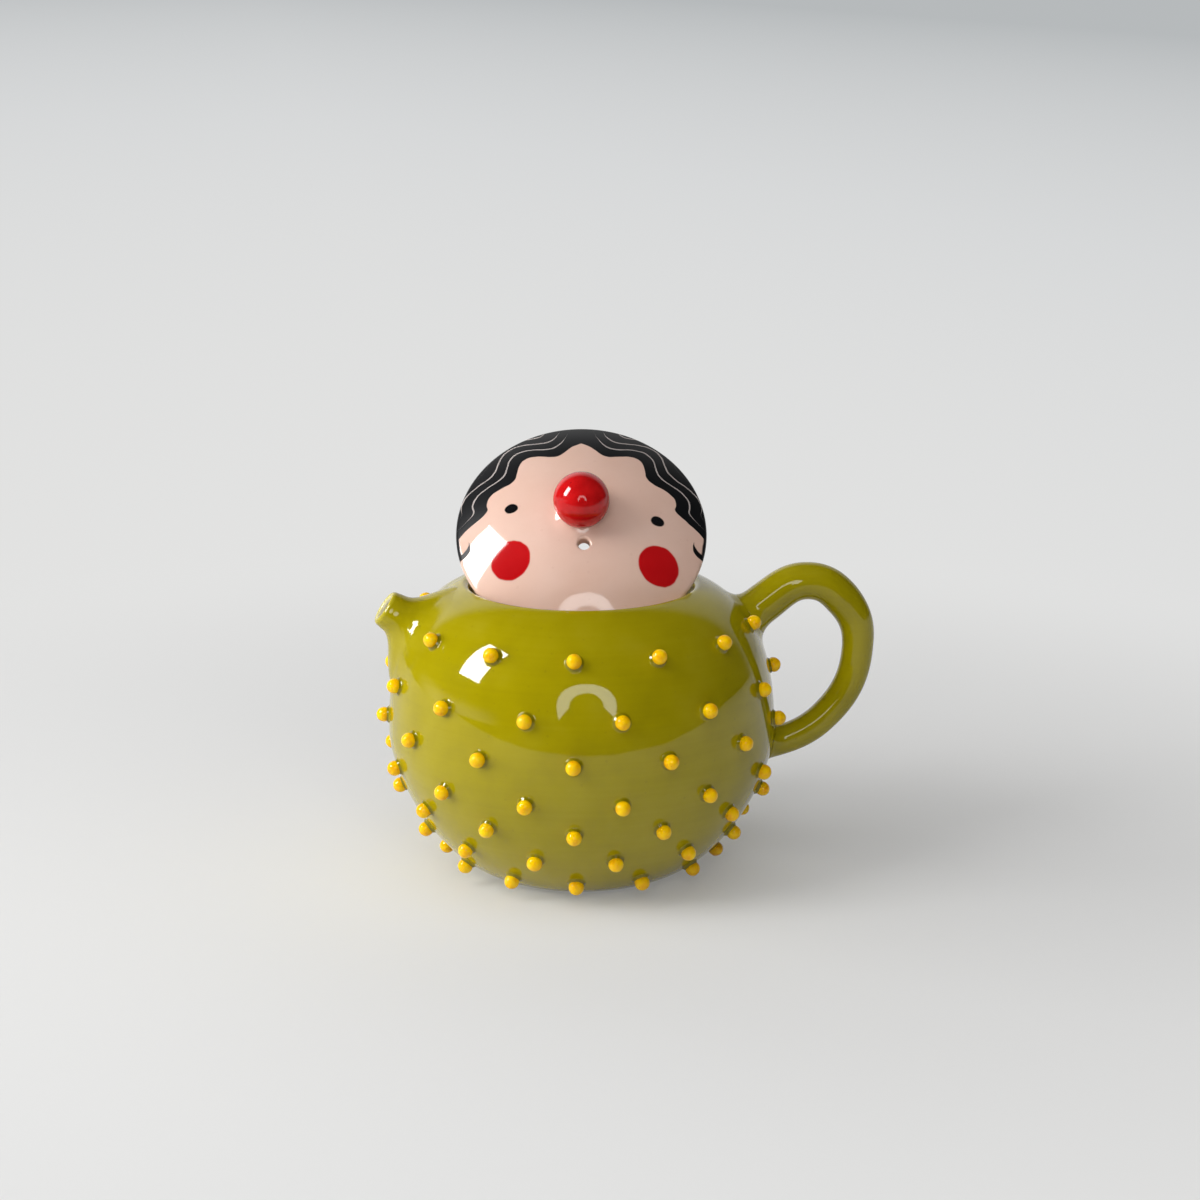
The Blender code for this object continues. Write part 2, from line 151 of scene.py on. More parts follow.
# Pool of glaze round the ball, by its distance from the lid's axis
POOL_INNER = 0.0052
POOL_OUTER = 0.0106
POOL_LIFT = 0.0018

# Painted face, in millimetres from the lid's centre and degrees of turn from the parting
EYES = ((-21.2, 3.0), (23.0, -1.3))
EYE_SIZE = (2.0, 1.75)
EYE_SOFTNESS = 0.10
CHEEKS = (((-21.2, -14.3), (5.9, 6.1)), ((23.2, -15.7), (6.1, 6.2)))
CHEEK_SOFTNESS = 0.04
BRUSH_WOBBLE = 0.5
HAIR_REACH = 25.4
HAIR_WIDENING = 0.028
HAIR_WAVE = 2.2
HAIR_WAVE_TURN = 37.2
HAIR_END_TURNS = (80.0, 97.0)
HAIR_END_RISE = 12.0
HAIR_SOFTNESS = 0.12
PARTING_PEAK = 1.2
PARTING_FADE = -0.22
LOCK_REACHES = (37.0, 37.5)
LOCK_TURNS = (105.5, 103.0)
EAR_CENTRE = (37.4, -6.2)
EAR_RADIUS = 3.4
EAR_TOP = (-5.0, -5.5)
EAR_LINE_HEIGHTS = (-5.2, -9.0)
EAR_LINE_HALF_WIDTHS = (0.05, 0.85)

# Lines through the hair: (distance from the hairline, first turn, last turn)
STRANDS = ((4.4, 6.0, 92.0), (8.2, 9.0, 84.0), (11.8, 15.0, 52.0))
STRAND_HALF_WIDTH = 0.27
STRAND_RISE = 5.0
STRAND_RISE_FADE = -0.3

# Beads
BEAD_DIAMETER = 0.0046
BEAD_SINK = 0.0007
BEADS_PER_ROW = 13
BEAD_FIRST_ANGLE = math.radians(-92.4)
BEAD_ROW_DROPS = (0.0193, 0.0365, 0.0491, 0.0618, 0.0723, 0.0841, 0.0968)
LOOSE_ROWS = 4
BEAD_UNEVENNESS = 0.05
BEAD_SIZE_NOISE = 400
BEAD_SKIN_NOISE = 700
BEAD_HEIGHT_SHIFT = Vector((7.0, 3.0, 1.0))

# Glaze drawn up round a bead: (distance from its axis, height above the wall, glaze thickness)
BEAD_RING = (
    (0.00310, 0.0, 0.80),
    (0.00295, 0.00002, 0.83),
    (0.00280, 0.00007, 0.88),
    (0.00265, 0.00017, 0.94),
    (0.00250, 0.00033, 1.0),
    (0.00230, 0.00060, 1.0),
    (0.00200, 0.00095, 1.0),
    (0.00160, 0.0, 1.0),
    (0.00160, -0.00040, 1.0),
    (0.00310, -0.00040, 0.80),
)

# Glaze thickness: none shows the pale lining, half is the thin bright line on an edge
LINED = 0.03
THIN = 0.50
COVERED = 0.80

# Facets
TURN_STEPS = 144
FINE_TURN_STEPS = 288
CURVE_STEPS = 41
FINE_STEPS = 90
LIP_STEPS = 16
SPOUT_COLUMNS = 64
FINE_SPOUT_COLUMNS = 192
SPOUT_ROWS = 48
SPOUT_LIP_ROWS = 8
COIL_STEPS = 40
COIL_ROUND_STEPS = 10
KNOB_COLUMNS = 64
KNOB_ROWS = 40
BEAD_COLUMNS = 20
BEAD_ROWS = 14
RING_STEPS = 24
LIP_SAMPLES = 360
SEAT_HALVINGS = 40
MERGE_DISTANCE = 1e-6
SHARP_ANGLE = math.radians(40)

# Camera, at the photograph's viewing angle, in pixels of a frame 1200 wide
TARGET = Vector((0.0, 0.0, 0.045))
TARGET_PIXEL = (581.5, 723.5)
FRAME_PIXELS = 1200.0
FOCAL_PIXELS = 2908.0
CAMERA_DISTANCE = 0.900
CAMERA_RISE = 16.6
CAMERA_TURN = -7.0
SENSOR_WIDTH = 36.0

# Lamps: (name, turn, rise, distance, (width, height), power, seen in the gloss only)
SOFTBOXES = (
    ("key_light", -70.0, 36.0, 1.20, (0.55, 0.62), 6.5, False),
    ("left_wall", -98.0, 13.0, 1.20, (0.9, 0.44), 10.5, False),
    ("ceiling", -25.0, 66.0, 1.60, (1.8, 1.8), 11.0, False),
    ("key_window", -82.5, 35.0, 1.20, (0.35, 0.62), 21.0, True),
)

# Arch of light in front of the pot; the lean says where a leg's tip lies across the band
ARCH_TURN = -4.0
ARCH_RISE = 15.5
ARCH_DISTANCE = 1.10
ARCH_RADIUS = 0.34
ARCH_BAND = 0.15
ARCH_LEG = 0.14
LEG_LEAN = 0.15
ARCH_STRENGTH = 5.5

# Stage floor
STAGE_RADIUS = 9.0
STAGE_STEPS = 96
STAGE_DROP = 0.0002


def curve_points(start, start_handle, end_handle, end, count=CURVE_STEPS):
    """Points along one cubic curve."""
    return interpolate_bezier(
        Vector(start), Vector(start_handle), Vector(end_handle), Vector(end), count,
    )


def heading(angle):
    """Unit vector of the outline plane, at an angle above level."""
    return Vector((math.cos(angle), math.sin(angle)))


def arc(centre, radius, first, last, count):
    """Points along an arc of the outline plane."""
    return [centre + radius * heading(first + (last - first) * i / count) for i in range(count + 1)]


def outline_normals(outline):
    """Outward normals of an outline that climbs on its outer side."""
    result = []
    for i in range(len(outline)):
        along = outline[min(i + 1, len(outline) - 1)] - outline[max(i - 1, 0)]
        result.append(Vector((along.y, -along.x)).normalized())
    return result


def lip_centre():
    """Centre of the round lip's section."""
    return Vector((MOUTH_RADIUS + WALL / 2, MOUTH_HEIGHT - WALL / 2))


def body_outline(count=CURVE_STEPS):
    """Outer outline of the pot, from the base's edge up to the lip."""
    shoulder = lip_centre() + heading(math.pi / 2 - SHOULDER_SLOPE) * WALL / 2
    shoulder_start = shoulder + heading(-SHOULDER_SLOPE) * SHOULDER_PULL
    base = Vector((BASE_RADIUS, 0.0))
    base_end = base + heading(BASE_SLOPE) * BASE_PULL
    belly = Vector((BELLY_RADIUS, BELLY_HEIGHT))
    rise = Vector((0.0, 1.0))
    lower = curve_points(base, base_end, belly - rise * BELLY_PULL_DOWN, belly, count)
    upper = curve_points(belly, belly + rise * BELLY_PULL_UP, shoulder_start, shoulder, count)
    return lower + upper[1:]


def turned(outline, glaze=None, closed=False, steps=TURN_STEPS):
    """Spin an outline of (radius, height) points about Z, with the glaze's thickness at each."""
    bm = bmesh.new()
    layer = bm.verts.layers.float.new("glaze")
    verts = [bm.verts.new((point[0], 0.0, point[1])) for point in outline]
    for i, vert in enumerate(verts):
        vert[layer] = glaze[i] if glaze else COVERED
    edges = [bm.edges.new(pair) for pair in zip(verts, verts[1:])]
    if closed:
        edges.append(bm.edges.new((verts[-1], verts[0])))
    bmesh.ops.spin(
        bm, geom=verts + edges, cent=(0, 0, 0), axis=(0, 0, 1),
        angle=math.tau, steps=steps, use_merge=True,
    )
    bmesh.ops.remove_doubles(bm, verts=bm.verts, dist=MERGE_DISTANCE)
    bmesh.ops.recalc_face_normals(bm, faces=bm.faces)
    return bm


def placed(bm, name):
    """Put a bmesh into the scene as an object."""
    mesh = bpy.data.meshes.new(name)
    bm.to_mesh(mesh)
    bm.free()
    thing = bpy.data.objects.new(name, mesh)
    bpy.context.scene.collection.objects.link(thing)
    return thing


def carved(bm, cutter):
    """Cut one closed shape out of another."""
    blank = placed(bm, "blank")
    drill = placed(cutter, "drill")
    modifier = blank.modifiers.new("cut", "BOOLEAN")
    modifier.operation = "DIFFERENCE"
    modifier.solver = "EXACT"
    modifier.object = drill
    bpy.context.view_layer.update()
    graph = bpy.context.evaluated_depsgraph_get()
    mesh = bpy.data.meshes.new_from_object(blank.evaluated_get(graph))
    result = bmesh.new()
    result.from_mesh(mesh)
    bpy.data.meshes.remove(mesh)
    for thing in (blank, drill):
        bpy.data.objects.remove(thing, do_unlink=True)
    return result


def finished(name, bm, material, body, slot, *nodes):
    """Smooth piece that rides on a body, takes a material and stands for its CAD nodes."""
    thing = placed(bm, name)
    thing.data.shade_smooth()
    thing.data.set_sharp_from_angle(angle=SHARP_ANGLE)
    thing.data.materials.clear()
    thing.data.materials.append(material)
    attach(thing, body)
    if nodes:
        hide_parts(*nodes)
    return thing


def lip_glaze(share):
    """Glaze over a round lip, by the share of the way over: thin on top and lined beyond it."""
    over = min(1.0, 2 * share)
    under = max(0.0, 2 * share - 1)
    return COVERED + (THIN - COVERED) * over + (LINED - THIN) * under


def pot_shell():
    """Hollow pot with a round lip, green outside and lined with pale glaze inside."""
    outside = body_outline()
    inside = [p - n * WALL for p, n in zip(outside, outline_normals(outside))]
    inside = [p for p in inside if p.y > FLOOR][::-1]
    first = math.pi / 2 - SHOULDER_SLOPE
    lip = arc(lip_centre(), WALL / 2, first, first + math.pi, LIP_STEPS)[1:-1]
    outline = [Vector((0.0, 0.0))] + outside + lip + inside
    outline += [Vector((inside[-1].x, FLOOR)), Vector((0.0, FLOOR))]
    glaze = [COVERED] * (len(outside) + 1)
    glaze += [lip_glaze(i / LIP_STEPS) for i in range(1, LIP_STEPS)]
    glaze += [LINED] * (len(outline) - len(glaze))
    return turned(outline, glaze)


def pot_form():
    """Solid pot with the shell's outer form."""
    first = math.pi / 2 - SHOULDER_SLOPE
    lip = arc(lip_centre(), WALL / 2, first, math.pi / 2, LIP_STEPS)
    outline = [Vector((0.0, 0.0))] + body_outline(FINE_STEPS) + lip[1:]
    return turned(outline + [Vector((0.0, lip[-1].y))], steps=FINE_TURN_STEPS)


def wall_cutter():
    """Solid pot that trims the spout and the handle inside the wall."""
    outside = body_outline()
    shrunk = [p - n * ROOT_DEPTH for p, n in zip(outside, outline_normals(outside))]
    above = Vector((lip_centre().x, MOUTH_HEIGHT + WALL))
    outline = [Vector((0.0, shrunk[0].y))] + shrunk + [above, Vector((0.0, above.y))]
    return turned(outline)


def spout_lines():
    """Top and bottom lines of the spout, as (distance from the axis, height) points."""
    tip_middle = Vector((BELLY_RADIUS + SPOUT_TIP_REACH, MOUTH_HEIGHT - SPOUT_TIP_DROP))
    across = heading(SPOUT_TIP_RISE + math.pi / 2)
    outward = heading(SPOUT_TIP_RISE)
    top_tip = tip_middle + across * SPOUT_TIP_DIAMETER / 2
    bottom_tip = tip_middle - across * SPOUT_TIP_DIAMETER / 2
    top_root = Vector((MOUTH_RADIUS, MOUTH_HEIGHT - SPOUT_TOP_SINK))
    bottom_root = Vector((BELLY_RADIUS - SPOUT_ROOT_DEPTH, BELLY_HEIGHT + SPOUT_ROOT_LIFT))
    top_start = top_root + heading(SPOUT_TOP_RISE) * SPOUT_TOP_PULL
    top_end = top_tip - outward * SPOUT_TIP_PULL
    top = curve_points(top_root, top_start, top_end, top_tip, SPOUT_ROWS)
    bottom_start = bottom_root + heading(SPOUT_ROOT_RISE) * SPOUT_ROOT_PULL
    bottom_end = bottom_tip - heading(SPOUT_UNDER_RISE) * SPOUT_UNDER_PULL
    bottom = curve_points(bottom_root, bottom_start, bottom_end, bottom_tip, SPOUT_ROWS)
    return top, bottom


def spout_rows():
    """Rows of the spout from its root out to the lip and back down its bore.

    Each row is (top, bottom, half width, inset, push beyond the tip, glaze thickness).
    """
    tops, bottoms = spout_lines()
    tip_half = SPOUT_TIP_DIAMETER / 2
    sections = []
    for i, (top, bottom) in enumerate(zip(tops, bottoms)):
        left = 1.0 - i / (SPOUT_ROWS - 1)
        half_width = tip_half + (SPOUT_ROOT_HALF_WIDTH - tip_half) * left ** SPOUT_FLARE
        sections.append((top, bottom, half_width))
    rows = [(*section, 0.0, 0.0, COVERED) for section in sections]
    for i in range(1, SPOUT_LIP_ROWS):
        turn = math.pi * i / SPOUT_LIP_ROWS
        inset = SPOUT_WALL / 2 * (1.0 - math.cos(turn))
        push = SPOUT_WALL / 2 * math.sin(turn)
        rows.append((*sections[-1], inset, push, lip_glaze(i / SPOUT_LIP_ROWS)))
    return rows + [(*section, SPOUT_WALL, 0.0, LINED) for section in sections[::-1]]


def spout_sheet(rows, columns=SPOUT_COLUMNS):
    """Open tube through rows of the spout, with its verts' glaze and row numbers."""
    bm = bmesh.new()
    layer = bm.verts.layers.float.new("glaze")
    number = bm.verts.layers.int.new("row")
    bmesh.ops.create_grid(bm, x_segments=columns, y_segments=len(rows) - 1, size=0.5)
    for vert in bm.verts:
        angle = math.tau * (vert.co.x + 0.5)
        vert[number] = round((vert.co.y + 0.5) * (len(rows) - 1))
        top, bottom, half_width, inset, push, vert[layer] = rows[vert[number]]
        across = (top - bottom).normalized()
        outward = Vector((across.y, -across.x))
        tall = (top - bottom).length / 2 - inset
        point = (top + bottom) / 2 + across * tall * math.cos(angle) + outward * push
        vert.co = (-point.x, (half_width - inset) * math.sin(angle), point.y)
    bmesh.ops.remove_doubles(bm, verts=bm.verts, dist=MERGE_DISTANCE)
    bmesh.ops.recalc_face_normals(bm, faces=bm.faces)
    return bm


def spout(wall, skin):
    """Hollow spout that flows out of the body, and is kept from lying along it beside the lip."""
    bm = spout_sheet(spout_rows())
    bmesh.ops.bridge_loops(bm, edges=[edge for edge in bm.edges if edge.is_boundary])
    bmesh.ops.recalc_face_normals(bm, faces=bm.faces)
    number = bm.verts.layers.int["row"]
    outside = [vert for vert in bm.verts if vert[number] < SPOUT_ROWS]
    flow_together(outside, skin, wall, SPOUT_FLOW)
    for vert in outside:
        height, normal = height_over(wall, vert.co)
        nearness = math.exp(-(height / LIP_SINK) ** 2)
        vert.co -= normal * LIP_SINK * nearness * (1.0 - past_lip(vert.co))
    return carved(bm, wall_cutter())


def surface(bm):
    """Tree of a shape's surface; the shape itself is let go."""
    tree = BVHTree.FromBMesh(bm)
    bm.free()
    return tree


def height_over(tree, point):
    """Distance of a point from a surface, negative behind it, and the surface's normal there."""
    spot, normal, _, distance = tree.find_nearest(point)
    return math.copysign(distance, (point - spot).dot(normal)), normal


def past_lip(point):
    """0 at the pot's lip, rising to 1 a wall's thickness out from it."""
    return max(0.0, min(1.0, (point.xy.length - MOUTH_RADIUS) / WALL - 1.0))


def flow_together(verts, own, other, radius):
    """Move verts of one surface out to the smooth union of it with another one.

    The flow is narrow where the two lie nearly along each other, and fades out at the pot's lip.
    Verts inside the other surface follow the union a little way on and then dip under it.
    """
    for vert in verts:
        first_height = height_over(other, vert.co)[0]
        if not -FLOW_OVERLAP < first_height < radius:
            continue
        fade = past_lip(vert.co)
        place = vert.co.copy()
        for _ in range(FLOW_ROUNDS):
            near, near_normal = height_over(own, place)
            far, far_normal = height_over(other, place)
            reach = radius * fade * min(1.0, FLOW_TURN * (1.0 - near_normal.dot(far_normal)))
            if abs(near - far) >= reach:
                break
            share = 0.5 + 0.5 * (far - near) / reach
            depth = share * near + (1.0 - share) * far - reach * share * (1.0 - share)
            slope = share * near_normal + (1.0 - share) * far_normal
            place -= slope * depth / slope.length_squared
        dip = max(0.0, -first_height / FLOW_OVERLAP) ** 2
        vert.co = vert.co.lerp(place, 1.0 - dip)


def refine_near(bm, wall, other, radius):
    """Split the shell's outer faces near another surface, keeping to the curve of the wall."""
    near = {
        vert for vert in bm.verts
        if vert.co.xy.length > MOUTH_RADIUS + WALL
        and height_over(wall, vert.co)[0] > -WALL / 2
        and -FLOW_OVERLAP < height_over(other, vert.co)[0] < radius
    }
    edges = [edge for edge in bm.edges if edge.verts[0] in near and edge.verts[1] in near]
    made = bmesh.ops.subdivide_edges(bm, edges=edges, cuts=1, use_grid_fill=True)
    for item in made["geom_inner"]:
        if isinstance(item, bmesh.types.BMVert):
            item.co = wall.find_nearest(item.co)[0]


def strainer_drill():
    """Drill for the strainer: one hole in the middle of a ring of holes."""
    tops, bottoms = spout_lines()
    middles = [(top + bottom) / 2 for top, bottom in zip(tops, bottoms)]
    outline = body_outline()
    centre = min(middles, key=lambda m: min((m - p).length for p in outline))
    target = min(outline, key=lambda p: (p - centre).length)
    outward = outline_normals(outline)[outline.index(target)]
    facing = Vector((-outward.x, 0.0, outward.y)).to_track_quat("Z", "Y").to_matrix().to_4x4()
    plate = Matrix.Translation((-target.x, 0.0, target.y)) @ facing
    spots = [Vector((0.0, 0.0, 0.0))]
    for i in range(STRAINER_HOLES):
        spots.append(STRAINER_PITCH_RADIUS * heading(math.tau * i / STRAINER_HOLES).to_3d())
    bm = bmesh.new()
    for spot in spots:
        bmesh.ops.create_cone(
            bm, cap_ends=True, segments=RING_STEPS, radius1=STRAINER_HOLE_DIAMETER / 2,
            radius2=STRAINER_HOLE_DIAMETER / 2, depth=4 * WALL,
            matrix=plate @ Matrix.Translation(spot),
        )
    return bm


def handle_coil():
    """Ear-shaped coil, swelling at its upper root."""
    curve = bpy.data.curves.new("handle_line", "CURVE")
    curve.dimensions = "3D"
    curve.bevel_depth = HANDLE_GRIP_DIAMETER / 2
    curve.bevel_resolution = COIL_ROUND_STEPS
    curve.resolution_u = COIL_STEPS
    curve.use_fill_caps = True
    spline = curve.splines.new("BEZIER")
    spline.bezier_points.add(len(HANDLE_STATIONS) - 1)
    for point, (reach, height, diameter) in zip(spline.bezier_points, HANDLE_STATIONS):
        point.co = (BELLY_RADIUS + reach, 0.0, height)
        point.handle_left_type = "AUTO"
        point.handle_right_type = "AUTO"
        point.radius = diameter / HANDLE_GRIP_DIAMETER
    line = bpy.data.objects.new("handle_line", curve)
    bpy.context.scene.collection.objects.link(line)
    bpy.context.view_layer.update()
    graph = bpy.context.evaluated_depsgraph_get()
    coil = bpy.data.meshes.new_from_object(line.evaluated_get(graph))
    bpy.data.objects.remove(line, do_unlink=True)
    bm = bmesh.new()
    bm.from_mesh(coil)
    bpy.data.meshes.remove(coil)
    layer = bm.verts.layers.float.new("glaze")
    for vert in bm.verts:
        vert[layer] = COVERED
    bmesh.ops.remove_doubles(bm, verts=bm.verts, dist=MERGE_DISTANCE)
    bmesh.ops.recalc_face_normals(bm, faces=bm.faces)
    return bm


def handle(wall):
    """Handle that flows onto the wall at both of its roots."""
    bm = handle_coil()
    flow_together(bm.verts, BVHTree.FromBMesh(bm), wall, HANDLE_FLOW)
    return carved(bm, wall_cutter())


def lid_edge_centre():
    """Radius of the circle round which the lid's edge is rounded, in the lid's rim plane."""
    return MOUTH_RADIUS + LID_OVERHANG - LID_EDGE_RADIUS


def dome_centre():
    """Height of the dome's centre below the rim plane."""
    return -math.sqrt((LID_DOME_RADIUS - LID_EDGE_RADIUS) ** 2 - lid_edge_centre() ** 2)


def knob_centre():
    """Height of the ball's centre above the rim plane."""
    return dome_centre() + LID_DOME_RADIUS + KNOB_DIAMETER / 2 - KNOB_SINK


def cap(radius, reach, count):
    """Arc of a ball round the dome's centre, from its top out to a reach from the axis."""
    return arc(Vector((0.0, dome_centre())), radius, math.pi / 2, math.acos(reach / radius), count)


def lid_matrix(height):
    """Place of the lid's rim plane for a given height of its centre."""
    turn = Matrix.Rotation(LID_TURN, 4, "Z")
    tilt = Matrix.Rotation(LID_TILT, 4, "X")
    return turn @ Matrix.Translation((0.0, LID_SETBACK, height)) @ tilt


def lid_gap(height):
    """Least gap between the lid's round edge and the pot's round lip."""
    place = lid_matrix(height)
    lip = lip_centre()
    least = math.inf
    for i in range(LIP_SAMPLES):
        edge = place @ (lid_edge_centre() * heading(math.tau * i / LIP_SAMPLES).to_3d())
        least = min(least, (Vector((math.hypot(edge.x, edge.y), edge.z)) - lip).length)
    return least - WALL / 2 - LID_EDGE_RADIUS


def lid_seat():
    """Place of the tilted lid, let down into the mouth until it meets the lip on both sides."""
    low = lip_centre().y
    high = low + lid_edge_centre() * math.sin(LID_TILT)
    for _ in range(SEAT_HALVINGS):
        middle = (low + high) / 2
        if lid_gap(middle) > LID_GAP:
            high = middle
        else:
            low = middle
    return lid_matrix(high)


def lid_dome():
    """Dome with a rounded edge, a hollow underside and glaze drawn up round the ball."""
    edge = Vector((lid_edge_centre(), 0.0))
    lean = math.acos(lid_edge_centre() / (LID_DOME_RADIUS - LID_EDGE_RADIUS))
    outside = cap(LID_DOME_RADIUS, LID_DOME_RADIUS * math.cos(lean), FINE_STEPS)
    raised = []
    for point in outside:
        lift = 0.0
        share = (point.x - POOL_INNER) / (POOL_OUTER - POOL_INNER)
        if 0.0 <= share < 1.0:
            lift = POOL_LIFT * (1.0 - share) ** 2
        raised.append(point + Vector((0.0, lift)))
    rim = arc(edge, LID_EDGE_RADIUS, lean, -math.pi / 2, LIP_STEPS)
    hollow = MOUTH_RADIUS - COLLAR_PLAY - COLLAR_WALL
    inside = cap(LID_DOME_RADIUS - LID_THICKNESS, hollow, CURVE_STEPS)
    painted = raised + rim[1:]
    plain = [Vector((hollow, -LID_EDGE_RADIUS))] + inside[::-1]
    bm = turned(painted + plain, [1.0] * len(painted) + [0.0] * len(plain))
    return carved(bm, vent_drill())


def vent_drill():
    """Drill for the vent, square to the dome, with a trumpet mouth that rounds the hole's edge."""
    bore = VENT_DIAMETER / 2
    middle = Vector((bore + VENT_EDGE_RADIUS, -VENT_EDGE_RADIUS))
    edge = arc(middle, VENT_EDGE_RADIUS, math.pi, math.pi / 2, LIP_STEPS)
    low = -4 * LID_THICKNESS
    mouth = Vector((edge[-1].x, LID_THICKNESS))
    outline = [Vector((0.0, low)), Vector((bore, low))] + edge + [mouth, Vector((0.0, mouth.y))]
    bm = turned(outline, steps=RING_STEPS * 2)
    lean = Matrix.Rotation(VENT_DISTANCE / LID_DOME_RADIUS, 4, "X")
    lean = Matrix.Rotation(VENT_TURN, 4, "Z") @ lean
    middle = Matrix.Translation((0.0, 0.0, dome_centre()))
    place = middle @ lean @ Matrix.Translation((0.0, 0.0, LID_DOME_RADIUS))
    bmesh.ops.transform(bm, matrix=place, verts=bm.verts)
    return bm


def lid_collar():
    """Flange under the lid's seat, rounded at its free edge."""
    top = -LID_EDGE_RADIUS
    outer = MOUTH_RADIUS - COLLAR_PLAY
    inner = outer - COLLAR_WALL
    low = top - COLLAR_DEPTH + COLLAR_EDGE_RADIUS
    corner = COLLAR_EDGE_RADIUS
    outline = [Vector((outer, top)), Vector((inner, top))]
    outline += arc(Vector((inner + corner, low)), corner, math.pi, 1.5 * math.pi, LIP_STEPS // 2)
    outline += arc(Vector((outer - corner, low)), corner, 1.5 * math.pi, math.tau, LIP_STEPS // 2)
    return turned(outline, closed=True)


def knob():
    """Ball rolled by hand: very nearly round."""
    bm = bmesh.new()
    ball = KNOB_DIAMETER / 2
    bmesh.ops.create_uvsphere(bm, u_segments=KNOB_COLUMNS, v_segments=KNOB_ROWS, radius=ball)
    for vert in bm.verts:
        vert.co *= 1.0 + KNOB_UNEVENNESS * noise.noise(vert.co / ball * KNOB_NOISE_SCALE)
    bmesh.ops.translate(bm, vec=(0.0, 0.0, knob_centre()), verts=bm.verts)
    return bm


def bead_rows():
    """Rows of bead places, top row first: each place has its ball's centre and faces outward."""
    outline = body_outline(FINE_STEPS)[::-1]
    outward = outline_normals(outline[::-1])[::-1]
    runs = [0.0]
    for upper, lower in zip(outline, outline[1:]):
        runs.append(runs[-1] + (upper - lower).length)
    rows = []
    for row, drop in enumerate(BEAD_ROW_DROPS):
        nearest = min(range(len(runs)), key=lambda i: abs(runs[i] - drop))
        rows.append(bead_row(outline[nearest], outward[nearest], row))
    return rows


def bead_row(point, outward, row):
    """Ring of bead places at one point of the outline, staggered on every second row."""
    middle = point + outward * (BEAD_DIAMETER / 2 - BEAD_SINK)
    step = math.tau / BEADS_PER_ROW
    places = []
    for i in range(BEADS_PER_ROW):
        spin = Matrix.Rotation(BEAD_FIRST_ANGLE + step * (i + 0.5 * (row % 2)), 4, "Z")
        facing = Vector((0.0, -outward.x, outward.y)).to_track_quat("Z", "Y").to_matrix().to_4x4()
        places.append(spin @ Matrix.Translation((0.0, -middle.x, middle.y)) @ facing)
    return places


def bead(bm, place):
    """Ball of slip set by hand: a little uneven in size, height and skin."""
    spot = place.translation * BEAD_SIZE_NOISE
    wide = 1.0 + BEAD_UNEVENNESS * noise.noise(spot)
    tall = 1.0 + BEAD_UNEVENNESS * noise.noise(spot + BEAD_HEIGHT_SHIFT)
    shape = place @ Matrix.Diagonal((wide, wide, tall, 1.0))
    made = bmesh.ops.create_uvsphere(
        bm, u_segments=BEAD_COLUMNS, v_segments=BEAD_ROWS, radius=BEAD_DIAMETER / 2, matrix=shape,
    )
    for vert in made["verts"]:
        out = vert.co - place.translation
        vert.co += out * BEAD_UNEVENNESS * 0.5 * noise.noise(vert.co * BEAD_SKIN_NOISE)


def bead_ring(bm, place, wall):
    """Green glaze drawn up round the foot of a bead, laid on the curve of the wall."""
    outline = [point[:2] for point in BEAD_RING]
    ring = turned(outline, [point[2] for point in BEAD_RING], closed=True, steps=RING_STEPS)
    foot = BEAD_SINK - BEAD_DIAMETER / 2
    for vert in ring.verts:
        height = vert.co.z
        spot, normal, _, _ = wall.find_nearest(place @ Vector((vert.co.x, vert.co.y, foot)))
        vert.co = spot + normal * height
    mesh = bpy.data.meshes.new("ring")
    ring.to_mesh(mesh)
    ring.free()
    bm.from_mesh(mesh)
    bpy.data.meshes.remove(mesh)


class Graph:
    """Shader nodes of one tree, wired by short calls."""

    def __init__(self, tree):
        self.tree = tree

    def add(self, kind, **fields):
        """New node with its fields set."""
        made = self.tree.nodes.new(kind)
        for field, value in fields.items():
            setattr(made, field, value)
        return made

    def put(self, socket, value):
        """Link a socket to another one, or set it."""
        if isinstance(value, bpy.types.NodeSocket):
            self.tree.links.new(value, socket)
        else:
            socket.default_value = value

    def math(self, operation, *values):
        """Result of a math node."""
        made = self.add("ShaderNodeMath", operation=operation)
        for socket, value in zip(made.inputs, values):
            self.put(socket, value)
        return made.outputs[0]

    def span(self, value, low, high, first=0.0, last=1.0):
        """Smooth step from one value to another as the input goes from low to high."""
        made = self.add("ShaderNodeMapRange", interpolation_type="SMOOTHSTEP")
        for socket, given in zip(made.inputs, (value, low, high, first, last)):
            self.put(socket, given)
        return made.outputs[0]

    def mix(self, factor, under, over):
        """Colour over another by a mask."""
        made = self.add("ShaderNodeMix", data_type="RGBA")
        self.put(made.inputs[0], factor)
        self.put(made.inputs[6], under)
        self.put(made.inputs[7], over)
        return made.outputs[2]

    def noise(self, vector, scale, detail=2.0):
        """Noise value about a half."""
        made = self.add("ShaderNodeTexNoise")
        self.put(made.inputs["Vector"], vector)
        made.inputs["Scale"].default_value = scale
        made.inputs["Detail"].default_value = detail
        return made.outputs["Fac"]

    def ramp(self, value, *stops):
        """Colours along a value."""
        made = self.add("ShaderNodeValToRGB")
        self.put(made.inputs[0], value)
        stripe = made.color_ramp.elements
        while len(stripe) < len(stops):
            stripe.new(0.5)
        for element, (position, colour) in zip(stripe, stops):
            element.position = position
            element.color = (*colour, 1.0)
        return made.outputs[0]


